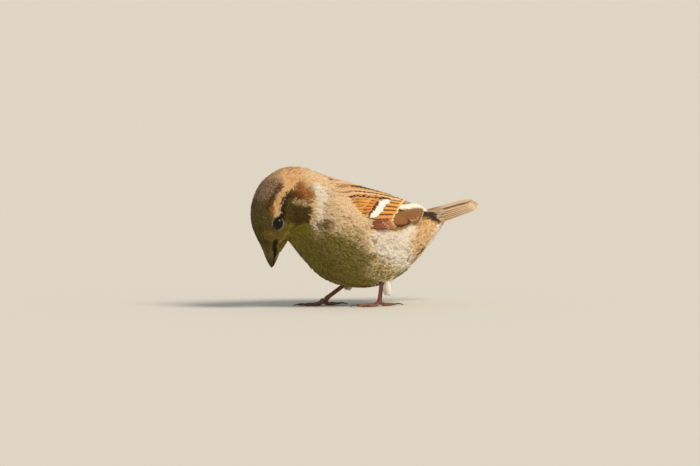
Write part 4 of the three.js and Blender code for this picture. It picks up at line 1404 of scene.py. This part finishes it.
# %% White tufts
def hang_tuft(name, top, bottom, count, seed):
    """Hangs loose feathers round a line from the thigh down to the tuft's end."""
    rng = np.random.default_rng(seed)
    tuft = Bunch(name, math.ceil(math.sqrt(count)))
    top, bottom = np.array(top), np.array(bottom)
    down = unit(bottom - top)
    across = unit(np.cross(down, [0, 1, 0]))
    shares = np.linspace(0, 1, 6)
    for k in range(count):
        turn = 2.4 * k  # radians
        out = across * math.cos(turn) + np.array([0, 1, 0]) * math.sin(turn)
        start = rng.uniform(-0.1, 0.35)
        along = start + shares * (1 - start) * rng.uniform(0.75, 1.08)
        wide = 0.4 + 2.0 * rng.uniform(0.3, 1) * np.sin(np.clip(along * 0.75 + 0.05, 0, 1) * math.pi)
        centre = top + (bottom - top) * along[:, None] + out * wide[:, None]
        shade = rng.uniform(0.92, 1.0)
        tones = [linear(c) * [shade, shade, shade, 1] for c in ("#f3ead8", "#fbf5ea", "#fdf9f1")]
        blade(tuft, shares, centre, np.tile(out, (6, 1)), 0.7, rng, level=(0, 0.1), colours=tones,
              reach=(0.5, 0.5, 0.8, 0.0), blunt=0.5, camber=0.15, tilt=0, columns=5, thick=0.1,
              form_bound=False, loose=0.9)
    return tuft


hang_tuft("left_thigh_tuft", (18.6, -11.6, 13.6), (18.4, -12.6, 6.0), 52, 61).piece(downy, "coat", [])
hang_tuft("right_thigh_tuft", (8.8, 10.2, 13.0), (6.6, 10.6, 7.6), 26, 62).piece(downy, "coat", [])

# %% [markdown]
# ## The tail
#
# Twelve tail feathers are rooted side by side, spread a little towards the tip and rise behind the
# folded wings. The middle pair lies on top, the outer ones below, and the outer ones are a little
# longer, so the tail's end is notched.

# %% Tail frame and its twelve feathers
TAIL_ROOT = np.array([46.0, 0.0, 44.7])
TAIL_PITCH, TAIL_ROLL = math.radians(14.6), math.radians(6)
TAIL_LENGTH, TAIL_NOTCH = 31.2, 1.2
ROOT_SPREAD, TIP_SPREAD = 1.5, 5.0  # of the outermost shaft from the middle
MIDDLE_HEIGHT, OUTER_HEIGHT = (2.5, 0.5), (-3.6, -1.3)  # at root and tip
TAIL_TONES = ("#dfbe9f", "#c9a587", "#d6b28a", "#b8946c", "#d3ae7a", "#b08a55")  # middle pair first


def in_tail(points):
    """Takes (along, across, above) in the tail to places on the bird."""
    along, across, above = np.asarray(points, float).T
    cosine, sine = math.cos(TAIL_ROLL), math.sin(TAIL_ROLL)
    level, upright = across * cosine - above * sine, across * sine + above * cosine
    rolled = np.stack([along, level, upright], 1)
    pitch = np.array([math.cos(TAIL_PITCH), 0, math.sin(TAIL_PITCH)])
    lift = np.array([-math.sin(TAIL_PITCH), 0, math.cos(TAIL_PITCH)])
    return TAIL_ROOT + rolled[:, :1] * pitch + rolled[:, 1:2] * [0, 1, 0] + rolled[:, 2:] * lift


tail = Bunch("tail_feathers", 5)
tail_rng = np.random.default_rng(31)
for number, middle in enumerate(TAIL_TONES):
    for side in (-1, 1):
        out = (number + 0.5) / 6
        shares = 1 - (1 - np.linspace(0, 1, 16)) ** 1.4
        length = TAIL_LENGTH - TAIL_NOTCH * (1 - out)
        across = side * out * (ROOT_SPREAD + (TIP_SPREAD - ROOT_SPREAD) * shares)
        root, tip = MIDDLE_HEIGHT
        high = tip + (root - tip) * (1 - shares) ** 0.6
        root, tip = OUTER_HEIGHT
        low = root + (tip - root) * shares**2
        above = high + (low - high) * out
        if side > 0:
            above = above + 0.17  # the right one of a pair lies on the left one
        centre = in_tail(np.stack([shares * length, across, above], 1))
        up = np.tile(in_tail([(0, 0, 1)])[0] - TAIL_ROOT, (16, 1))
        blade(tail, shares, centre, up, 3.2, tail_rng, level=(0, 0), tilt=0.9 * side,
              colours=(middle, "#dcc09a", "#e4cda4"), reach=(0.76, 0.82, 0.96, 0.06), blunt=0.84,
              narrow=0.6, camber=0.2, thick=0.2, form_bound=False)
tail.piece(firm, "tail", ["tail"])

# %% [markdown]
# ## Coverts over the tail's root
#
# Soft grey-brown feathers run from the rump over the first half of the tail and hide where its
# feathers are rooted. The middle ones overlap the outer ones, so the outer ones are laid first.

# %% Tail coverts
def cover_tail():
    """Lays soft coverts from the rump over the first half of the tail."""
    coverts = Bunch("tail_coverts", 4)
    rng = np.random.default_rng(32)
    for number in (3, 2, 1, 0):
        for side in (-1, 1):
            out = (number + 0.4) / 4
            shares = np.linspace(0, 1, 10)
            along = -7 + (20.5 - 3 * out) * shares
            above = np.interp(along, [-7, 0, 8, 14], [1.0, 2.9, 2.9, 2.3]) - 2.4 * out**2
            centre = in_tail(np.stack([along, side * out * (2.6 + 1.6 * shares), above], 1))
            up = np.tile(in_tail([(0, 0.5 * side * out, 1)])[0] - TAIL_ROOT, (10, 1))
            blade(coverts, shares, centre, up, 1.9, rng, level=(0, 0.1), tilt=0.15 * side,
                  colours=("#8d6f58", "#b99a7c", "#cdb190"), reach=(0.5, 0.5, 0.9, 0.0),
                  blunt=0.55, narrow=0.6, form_bound=False, loose=0.5)
    return coverts


cover_tail().piece(downy, "coat", [])

# %% [markdown]
# ## Finishes without feathers
#
# Eyes, lids, bill, claws and legs are bare. Their finishes differ in gloss, grain and depth of
# relief, not in kind: each is one noise, which mottles the colour and raises a fine grain. The
# grains of skin and horn are a tenth of a millimetre or less in life. They are drawn three to ten
# times coarser, as coarse as they need to show.

# %% Finishes of the bare parts
def bare_finish(name, colour, roughness, grain, bump, **sockets):
    """A finish with a fine mottle; grain is noise per metre, bump its depth in metres.

    A colour of None stands for the piece's own core attribute.
    """
    made = bpy.data.materials.new(name)
    made.use_nodes = True
    tree = made.node_tree
    shader = tree.nodes["Principled BSDF"]
    if colour is None:
        base = node(tree, "ShaderNodeAttribute", attribute_name="core")
    else:
        base = linear(colour)
    place = node(tree, "ShaderNodeTexCoord").outputs["Object"]
    grains = {"Vector": place, "Scale": grain, "Detail": 4.0}
    grains = node(tree, "ShaderNodeTexNoise", grains)
    mottle = {0: grains, 1: 0.3, 2: 0.7, 3: 0.82, 4: 1.12}
    mottle = node(tree, "ShaderNodeMapRange", mottle)
    mixed = {0: 1.0, 6: base, 7: mottle}
    mixed = node(tree, "ShaderNodeMix", mixed, data_type="RGBA", blend_type="MULTIPLY")
    tree.links.new(mixed.outputs[2], shader.inputs["Base Color"])
    if bump:
        relief = {"Height": grains, "Strength": 0.6, "Distance": bump}
        relief = node(tree, "ShaderNodeBump", relief)
        tree.links.new(relief.outputs[0], shader.inputs["Normal"])
    shader.inputs["Roughness"].default_value = roughness
    for key, value in sockets.items():
        shader.inputs[key.replace("_", " ")].default_value = value
    return made


# wet and clear: almost all that shows of the eye is one small sharp highlight on near black
cornea = bare_finish(
    "cornea over a dark iris", None, 0.06, 900.0, 0, IOR=1.376, Specular_IOR_Level=0.35
)
# dry skin in grains of 0.3 mm: matt, which sets off the glossy ball
lid_skin = bare_finish("bare lid skin, grained", None, 0.6, 3500.0, 0.00006)
# keratin worn smooth by feeding: a broad waxy sheen along the ridge
horn = bare_finish(
    "bill horn, dark and slightly waxy", None, 0.5, 900.0, 0.00003, IOR=1.55,
    Specular_IOR_Level=0.3,
)
# harder keratin, polished on twigs: a narrow light line along each claw
claw_horn = bare_finish("claw horn", "#2b1d15", 0.35, 900.0, 0.00003, IOR=1.55)
# dry horny plates: dull, with paler and darker ones where they overlap
leg_skin = bare_finish("scaled leg skin, horny plates", None, 0.5, 1800.0, 0.00006)
print("bare parts wear", [m.name for m in (cornea, lid_skin, horn, claw_horn, leg_skin)])

# %% [markdown]
# ## The ball of the eye
#
# A sparrow's eye is a dark brown ball that shows about five millimetres of its iris and pupil
# between the lids. The ball is a sphere of rings about its own axis, so the pupil's edge is an
# edge of the mesh and stays sharp without a fine grid.

# %% Eyeballs
BALL, PUPIL, IRIS = 3.6, 1.7, 2.9  # radii in millimetres
EYE_OUT = unit(np.array([-0.36, -0.93, -0.03]))  # the left eye looks out and a little ahead
EYE_RINGS = [  # radius of each ring in front, in millimetres, and its colour
    (0.5, "#050302"),
    (1.1, "#050302"),
    (PUPIL - 0.04, "#050302"),
    (PUPIL + 0.04, "#190d06"),
    (2.2, "#211107"),
    (IRIS, "#120a05"),
    (3.1, "#0c0704"),
    (3.35, "#0c0704"),
    (3.57, "#0c0704"),
]
BACK_RINGS = (3.57, 2.6, 1.4)  # radii behind, where nothing shows


def facing_out(made):
    """Recalculates an object's faces to point outwards."""
    shell = bmesh.new()
    shell.from_mesh(made.data)
    bmesh.ops.recalc_face_normals(shell, faces=shell.faces)
    shell.to_mesh(made.data)
    shell.free()
    return made


def eye_frame(mirror):
    """Middle, outward axis, long axis towards the nape and short axis of one eye."""
    middle = EYE * ([1, 1, 1] if mirror else [1, -1, 1])
    out = EYE_OUT * ([1, -1, 1] if mirror else [1, 1, 1])
    long = np.array([0.32, 0, 1.0])
    long = unit(long - out * (long @ out))
    return middle, out, long, unit(np.cross(out, long))


def eyeball(name, mirror):
    """A closed ball of rings, dark in the middle, with the iris's brown round it."""
    middle, out, long, short = eye_frame(mirror)
    sides = 48
    turn = np.arange(sides) / sides * 2 * np.pi
    spokes = long * np.cos(turn)[:, None] + short * np.sin(turn)[:, None]
    pupil_tone, rim_tone = EYE_RINGS[0][1], EYE_RINGS[-1][1]
    points, colours = [middle + out * BALL], [linear(pupil_tone)]
    for radius, tone in EYE_RINGS:
        points.extend(middle + spokes * radius + out * math.sqrt(BALL**2 - radius**2))
        colours.extend([linear(tone)] * sides)
    for radius in BACK_RINGS:
        points.extend(middle + spokes * radius - out * math.sqrt(BALL**2 - radius**2))
        colours.extend([linear(rim_tone)] * sides)
    points.append(middle - out * BALL)
    colours.append(linear(rim_tone))
    bands = len(EYE_RINGS) + len(BACK_RINGS) - 1
    faces = [(0, 1 + k, 1 + (k + 1) % sides) for k in range(sides)]
    for band in range(bands):
        a, b = 1 + band * sides, 1 + (band + 1) * sides
        faces += [(a + k, b + k, b + (k + 1) % sides, a + (k + 1) % sides) for k in range(sides)]
    last = 1 + bands * sides
    faces += [(last + (k + 1) % sides, last + k, len(points) - 1) for k in range(sides)]
    return facing_out(make_object(name, points, faces, cornea, [("core", "FLOAT_COLOR", colours)]))


print("an eyeball has", len(EYE_RINGS) + len(BACK_RINGS), "rings")

# %% [markdown]
# ## The lids
#
# Bare, grained skin rings the eye: a thin dark margin that touches the ball, and two rows of pale
# beads round it. Each is a closed ring of tube on an almond that lies on the ball, and its beads
# are a wave in the tube's thickness.

# %% Eyelids
LID_LONG, LID_SHORT = 3.15, 2.55  # half the opening between the lids
LID_RINGS = [  # distance outside the opening, thickness, number of beads, their depth, colour
    (0.0, 0.2, 0, 0.0, "#1d130b"),
    (0.34, 0.24, 34, 0.30, "#b09a70"),
    (0.74, 0.22, 40, 0.35, "#b5a076"),
]
LID_STEPS = 160  # points round each ring


def tube(centre, out, side, radius, sides):
    """A closed ring of tube; out and side are its outward and sideways directions."""
    count = len(centre)
    turn = (np.arange(sides) / sides * 2 * np.pi)[:, None]
    spokes = out[:, None] * np.cos(turn) + side[:, None] * np.sin(turn)
    points = centre[:, None] + radius[:, None, None] * spokes
    faces = []
    for i in range(count):
        j = (i + 1) % count
        for k in range(sides):
            m = (k + 1) % sides
            faces.append((i * sides + k, i * sides + m, j * sides + m, j * sides + k))
    return points.reshape(-1, 3), faces


def lids(name, mirror):
    """The dark lid margin and the pale grained skin round it."""
    middle, out, long, short = eye_frame(mirror)
    points, faces, colours = [], [], []
    turn = np.arange(LID_STEPS) / LID_STEPS * 2 * np.pi
    for outset, thick, beads, depth, tone in LID_RINGS:
        u = (LID_LONG + outset) * np.cos(turn)
        v = (LID_SHORT + outset) * np.sin(turn) * (1 - 0.1 * np.cos(turn) ** 2)
        shell = BALL + 0.02 + 0.06 * outset
        rise = np.sqrt(np.maximum(shell**2 - u**2 - v**2, 0.5))
        centre = middle + u[:, None] * long + v[:, None] * short + rise[:, None] * out
        way_out = unit(centre - middle)
        sideways = unit(np.cross(way_out, np.roll(centre, -1, 0) - np.roll(centre, 1, 0)))
        radius = thick * (1 + depth * np.cos(turn * beads))
        ring_points, ring_faces = tube(centre, way_out, sideways, radius, 8)
        faces += [[v + len(points) for v in f] for f in ring_faces]
        points += list(ring_points)
        colours += [linear(tone)] * len(ring_points)
    # towards the nape the skin is darker
    ahead = (middle[0] - np.array(points)[:, 0]) / BALL
    shade = 0.55 + 0.45 * smooth(-0.7, 0.5, ahead)
    colours = np.array(colours) * np.stack([shade, shade, shade, np.ones(len(shade))], 1)
    made = make_object(name, points, faces, lid_skin, [("core", "FLOAT_COLOR", colours)])
    return facing_out(made)


for side, mirror in (("left", False), ("right", True)):
    ball, both_lids = eyeball(f"{side}_eyeball", mirror), lids(f"{side}_eyelids", mirror)
    PIECES.append((ball, "eye", [f"eye_{side}"]))
    PIECES.append((both_lids, "leg", []))
    print(side, "eye", len(ball.data.polygons), "faces, lids", len(both_lids.data.polygons))

# %% [markdown]
# ## Bill
#
# The bill is a stout cone of horn in two halves. Each starts from its own solid, remeshed finely
# and smoothed, so its outline stays. Its points are then moved for a hollow nostril, a mouth that
# shows as a dark line, and a base that runs on under the feathers. The bill is shut: a band of
# painted shade along the cutting edge stands for the dark of a slightly open mouth, and the
# nostril's hollow is painted dark as well.

# %% Horn over a solid of the frame
BILL_BASE, BILL_TIP = np.array([-42.8, 0, 31.3]), np.array([-42.6, 0, 21.4])
BILL_LENGTH = np.linalg.norm(BILL_TIP - BILL_BASE)
bill_way = unit(BILL_TIP - BILL_BASE)
bill_dorsal = unit(np.cross(bill_way, [0, -1, 0]))  # towards the ridge of the upper half
ROOTED = 2.2  # millimetres by which the horn runs on under the feathers
NOSTRIL, NOSTRIL_SIZE = [-46.4, 2.2, 29.6], [0.5, 0.6, 0.75]


def refined(name, nodes, voxel, rounds):
    """A fine smooth copy of some of the frame's solids; voxel is in millimetres."""
    shell = bmesh.new()
    for each in nodes:
        shell.from_mesh(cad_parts[each].data)
    bmesh.ops.remove_doubles(shell, verts=shell.verts, dist=1e-6)
    mesh = bpy.data.meshes.new(name)
    shell.to_mesh(mesh)
    shell.free()
    made = bpy.data.objects.new(name, mesh)
    bpy.context.scene.collection.objects.link(made)
    remeshed(made, voxel, rounds)
    made.data.polygons.foreach_set("use_smooth", np.ones(len(made.data.polygons), bool))
    return made


def wear(made, tone, stuff):
    """Gives a piece its colours and its finish."""
    store(made.data, "core", "FLOAT_COLOR", tone)
    made.data.materials.clear()
    made.data.materials.append(stuff)
    return made


def horn_half(name, solid, base, edge, gap):
    """One half of the bill; base is its colour, edge the strength of its dark cutting edge.

    gap is how wide the painted shade of the open mouth shows along that edge, in millimetres.
    """
    made = refined(name, [solid], 0.13, 6)
    points = points_of(made.data)

    # the base runs on under the feathers, a little slimmer than the solid
    along = (points - BILL_BASE) @ bill_way
    root = 1 - smooth(-0.2, 1.4, along)
    points -= bill_way * root[:, None] * ROOTED
    middle = np.array([-43, 0, 29])
    points[:, [0, 1]] += (middle[[0, 1]] - points[:, [0, 1]]) * (0.05 * root)[:, None]
    slim = 0.06 * (1 - smooth(0, 4.5, along))
    points += (BILL_BASE + bill_way * along[:, None] - points) * slim[:, None]
    above = (points - BILL_BASE) @ bill_dorsal
    flatter = np.where(above > 0, 0.08, 0.09) * above * (1 - smooth(3.5, 10, along))
    points -= bill_dorsal * flatter[:, None]

    # nostril and mouth are drawn in
    folded = np.abs(points * [0, 1, 0]) + points * [1, 0, 1]
    nostril = np.exp(-(((folded - NOSTRIL) / NOSTRIL_SIZE) ** 2).sum(1))
    gape = np.abs((points - BILL_TIP) @ -bill_dorsal)  # distance from the plane of the mouth
    mouth = gap * (1 - smooth(0.25, 0.6, along / BILL_LENGTH))
    mouth = 1 - smooth(mouth - 0.3, mouth + 0.15, gape)
    points -= normals_of(made.data) * (0.45 * nostril + 0.3 * mouth)[:, None]
    set_points(made.data, points)

    # the horn darkens to the tip
    tone = np.tile(linear(base), (len(points), 1))
    tone = blend(tone, linear("#382810"), smooth(1.5, BILL_LENGTH * 0.8, along))
    # painted shade: the nostril's hollow is painted near black
    tone = blend(tone, linear("#17100a"), np.clip(1.2 * nostril, 0, 1))
    tone = blend(tone, linear("#1c130b"), edge * (1 - smooth(0.15, 0.7, gape)))
    # painted shade: the band of the open mouth along the cutting edge is painted near black
    tone = blend(tone, linear("#150c05"), 0.95 * mouth)
    return wear(made, tone, horn)


upper_half = horn_half("upper_bill", "bill_upper", "#5f4d12", 0.8, 1.0)
lower_half = horn_half("lower_bill", "bill_lower", "#8a7230", 0.8, 2.2)
PIECES.append((upper_half, "bill", ["bill_upper"]))
PIECES.append((lower_half, "bill", ["bill_lower"]))
print("bill of", len(upper_half.data.polygons), "and", len(lower_half.data.polygons), "faces")

# %% [markdown]
# ## Feathers that cover the bill's edge
#
# Short feathers of the face lie over the root of the bill. Between head and horn the solids leave
# a shallow notch, which feathers would bridge. So their height is measured first: rays from the
# bill's own axis meet head or horn, and above and below the bill straight chords close the notch.

# %% How far head and bill reach from the bill's axis
STATIONS = [-4.5, -3.5, -2.5, -1.4, 0.5, 1.2, 2.0, 3.0]  # places along the bill from its base
STEEPEST = 1.2  # most that the reach may grow from one station to the next, towards the head
bill_points, bill_faces = [], []
for half in (upper_half, lower_half):
    bill_faces += [[v + len(bill_points) for v in p.vertices] for p in half.data.polygons]
    bill_points += [Vector(p) for p in points_of(half.data)]
bill_tree = BVHTree.FromPolygons(bill_points, bill_faces)


def chords_over(reaches):
    """The reach of the straight chords that bridge the notch between head and bill."""
    last = len(STATIONS)
    over = []
    for k, place in enumerate(STATIONS):
        pairs = [(i, j) for i in range(k + 1) for j in range(k, last) if i < j]
        spans = [
            np.interp(place, (STATIONS[i], STATIONS[j]), (reaches[i], reaches[j]))
            for i, j in pairs
        ]
        over.append(max(spans))
    return over


def sheath(out):
    """How far head and bill reach from the bill's axis in one direction, at the stations."""
    reaches = []
    for along in reversed(STATIONS):
        middle = BILL_BASE + bill_way * along
        if along > 0:
            hit = bill_tree.ray_cast(Vector(middle + out * 8), Vector(-out))[0]
        else:
            hit = form_tree.ray_cast(Vector(middle), Vector(out))[0]
        far = (hit - Vector(middle)).length if hit else 3.0
        reaches.append(min(far, reaches[-1] + STEEPEST) if reaches else far)
    reaches = reaches[::-1]
    bridge = (out @ bill_dorsal) ** 2  # above and below the bill only
    return [low + (hull - low) * bridge for low, hull in zip(reaches, chords_over(reaches))]


print("forehead to ridge", np.round(sheath(bill_dorsal), 1), "mm from the axis")

# %% [markdown]
# ## Rings of short feathers
#
# Four rings of feathers stand round the base of the bill, the foremost laid first and each later
# one farther back, over its root. They reach furthest over the nostrils and the chin and leave the
# corners of the mouth bare. Each takes its colour from the plumage near its root.

# %% Nose and chin feathers
def cover_bill():
    """Lays rings of short feathers over the base of the bill."""
    tufts = Bunch("nose_and_chin_feathers", 16)
    rng = np.random.default_rng(7)
    for ring, count in enumerate((52, 56, 60, 60)):
        for k in range(count):
            turn = 2 * math.pi * (k + 0.5 * (ring % 2)) / count + rng.normal(0, 0.04)
            out = bill_dorsal * math.cos(turn) + np.array([0, -1, 0]) * math.sin(turn)
            chin = float(smooth(-0.1, -0.9, math.cos(turn)))
            nose = float(smooth(0.2, 0.9, math.cos(turn)))
            corner = math.exp(-(((math.cos(turn) + 0.12) / 0.26) ** 2))
            end = 1.1 + 0.3 * nose + 0.9 * chin - 1.9 * corner - 0.75 * ring + rng.normal(0, 0.14)
            stations = np.linspace(end - 2.4 - 0.8 * chin, end, 5)
            reaches = np.interp(stations, STATIONS, sheath(out))
            centre = BILL_BASE + bill_way * stations[:, None] + out * reaches[:, None]
            core, rim = (tone[0] for tone in plumage(centre[1:2]))
            shade = rng.uniform(0.8, 1.15)
            tones = [c * [shade, shade, shade, 1] for c in (core, rim, rim)]
            blade(tufts, np.linspace(0, 1, 5), centre, np.tile(out, (5, 1)), 0.42, rng,
                  level=(-0.15, 0.16 - 0.4 * nose), colours=tones, reach=(0.8, 0.8, 0.9, 0.0),
                  blunt=0.3, camber=0.05, tilt=0.0, columns=3, thick=0.08, form_bound=False)
    return tufts


cover_bill().piece(downy, "coat", [])

# %% [markdown]
# ## Legs, toes and claws
#
# The bare leg is covered in horny plates: broad ones down the front of the tarsus and along the
# top of each toe, pads beneath. Fine copies of the solids take rings of plates as small steps.

# %% Scaled legs
PLATE = 1.15  # length of a plate in millimetres
STEP = 0.1  # height of a plate's edge in millimetres
INTO_FOOT = 0.9  # millimetres by which a tarsus reaches down into its foot


def scaled(name, solid, across_tarsus, middle):
    """A leg piece with plates, told by height on a tarsus and by distance from middle on a foot."""
    made = refined(name, [solid], 0.15, 4)
    points, ways = points_of(made.data), normals_of(made.data)
    if across_tarsus:
        way = points[:, 2]
        lowest = way.min()
        points -= np.array([0, 0, INTO_FOOT]) * (1 - smooth(lowest, lowest + 1.2, way))[:, None]
    else:
        way = np.linalg.norm(points[:, :2] - middle[:2], axis=1)
    phase = (way / PLATE) % 1.0
    step = np.where(phase < 0.5, smooth(0, 0.18, phase), 1 - smooth(0.82, 1.0, phase))
    facing = smooth(-0.2, 0.5, -ways[:, 0] if across_tarsus else ways[:, 2])
    set_points(made.data, points + ways * ((step - 1) * STEP * facing)[:, None])
    tone = np.tile(linear("#83503a"), (len(points), 1))
    tone = blend(tone, linear("#562d1f"), (1 - step) * facing)
    tone = blend(tone, linear("#9a6e54"), 0.4 * smooth(0.2, 0.9, -ways[:, 2]))
    return wear(made, tone, leg_skin)


for side in ("left", "right"):
    tarsus, foot = f"tarsus_{side}", f"foot_{side}"
    low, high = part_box(tarsus)
    ankle = on_bird([(low.x + high.x) / 2, (low.y + high.y) / 2, low.z])
    PIECES.append((scaled(f"{side}_tarsus", tarsus, True, None), "leg", [tarsus]))
    PIECES.append((scaled(f"{side}_foot", foot, False, ankle), "leg", [foot]))
    claws = [f"claw_{side}_{toe}" for toe in ("inner", "middle", "outer", "hind")]
    nails = refined(f"{side}_claws", claws, 0.09, 3)
    nails.data.materials.clear()
    nails.data.materials.append(claw_horn)
    PIECES.append((nails, "claw", claws))
    print(side, "foot and claws", len(PIECES[-2][0].data.polygons), len(nails.data.polygons))

# %% [markdown]
# ## The form has served
#
# Every feather is placed, so the form goes. The skin stands for all solids of flesh, and is listed
# last.

# %% Remove the form, list the skin
bpy.data.objects.remove(form)
PIECES.append((skin, "coat", FLESH))
print(len(PIECES), "pieces")

# %% [markdown]
# ## Camera
#
# A long lens far away keeps the side view almost free of perspective. The camera turns round the
# middle of the bird: its azimuth and elevation give three directions at right angles, and the aim
# is told by two of them.

# %% Camera
SENSOR, LENS, DISTANCE = 36.0, 500.0, 5056.0  # sensor, focal length and distance, all in mm
AZIMUTH, ELEVATION = math.radians(-28.0), math.radians(3.5)
camera_right = np.array([math.cos(AZIMUTH), math.sin(AZIMUTH), 0.0])
camera_back = np.array([
    math.sin(AZIMUTH) * math.cos(ELEVATION),
    -math.cos(AZIMUTH) * math.cos(ELEVATION),
    math.sin(ELEVATION),
])
camera_up = np.cross(camera_back, camera_right)
aim = 2.6 * camera_right + 38.0 * camera_up
camera_data = bpy.data.cameras.new("camera")
camera_data.sensor_width = SENSOR
camera_data.lens = LENS
camera_data.clip_end = 100.0
camera = bpy.data.objects.new("camera", camera_data)
bpy.context.scene.collection.objects.link(camera)
camera.location = to_frame(aim + camera_back * DISTANCE)
camera.rotation_mode = "QUATERNION"
camera.rotation_quaternion = Vector(-camera_back).to_track_quat("-Z", "Y")
bpy.context.scene.camera = camera
print("camera at", [round(v, 3) for v in camera.location])

# %% [markdown]
# ## Floor, lamp and room
#
# The bird stands on a plain pale floor that reaches thirty metres each way, so its end is a level
# horizon. A broad warm lamp stands high on the bird's tail side and a pale room fills the shade, so
# that colours render about as they are written. The lens and reflections see a brighter room than
# the one that lights the bird.

# %% Floor, lamp and room
FLOOR_RADIUS = 30000.0  # millimetres
floor_paint = bpy.data.materials.new("matt studio floor")
floor_paint.use_nodes = True
floor_shader = floor_paint.node_tree.nodes["Principled BSDF"]
floor_shader.inputs["Base Color"].default_value = linear("#dedad0")
floor_shader.inputs["Roughness"].default_value = 0.95
floor_shader.inputs["Specular IOR Level"].default_value = 0.1
ring = [2 * math.pi * k / 64 for k in range(64)]
floor_rim = [(FLOOR_RADIUS * math.cos(a), FLOOR_RADIUS * math.sin(a), 0) for a in ring]
floor = make_object("floor", floor_rim, [list(range(64))], floor_paint)
floor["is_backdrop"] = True

sun_data = bpy.data.lights.new("key lamp", "SUN")
sun_data.energy = 2.5
sun_data.angle = math.radians(24)
sun_data.color = linear("#fff1dc")[:3]
sun = bpy.data.objects.new("key lamp", sun_data)
bpy.context.scene.collection.objects.link(sun)
SUN_FROM = camera_right * 0.75 + camera_back * 0.5 + np.array([0, 0, 1.0])
sun.rotation_mode = "QUATERNION"
sun.rotation_quaternion = Vector(SUN_FROM).to_track_quat("Z", "Y")

world = bpy.data.worlds.new("soft room")
bpy.context.scene.world = world
world.use_nodes = True
room = world.node_tree
room.nodes.clear()
rays = node(room, "ShaderNodeLightPath").outputs
seen = {0: rays["Is Camera Ray"], 1: rays["Is Glossy Ray"]}
seen = node(room, "ShaderNodeMath", seen, operation="MAXIMUM")
seen = {0: seen, 1: rays["Is Transmission Ray"]}
seen = node(room, "ShaderNodeMath", seen, operation="MAXIMUM")
fill = node(room, "ShaderNodeBackground", {"Color": linear("#eef2f8"), "Strength": 0.48})
backdrop = node(room, "ShaderNodeBackground", {"Color": linear("#dedad0"), "Strength": 0.9})
mixed = node(room, "ShaderNodeMixShader", {0: seen, 1: fill, 2: backdrop})
node(room, "ShaderNodeOutputWorld", {"Surface": mixed})
bpy.context.scene.view_settings.view_transform = "Standard"
print("lamp", sun_data.energy, "and room", fill.inputs["Strength"].default_value)

# %% [markdown]
# ## The pieces on one body
#
# Every piece rides on the one body, and the solids that it stands for are hidden.

# %% Bodies and boxes
for piece, slot_name, stood_for in PIECES:
    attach(piece, "root")
    if stood_for:
        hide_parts(*stood_for)

seen_low, seen_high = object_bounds()
proud = [*(cad_low - seen_low), *(seen_high - cad_high)]
print("proud of the solids' box by", [round(v * 1000, 2) for v in proud], "mm")
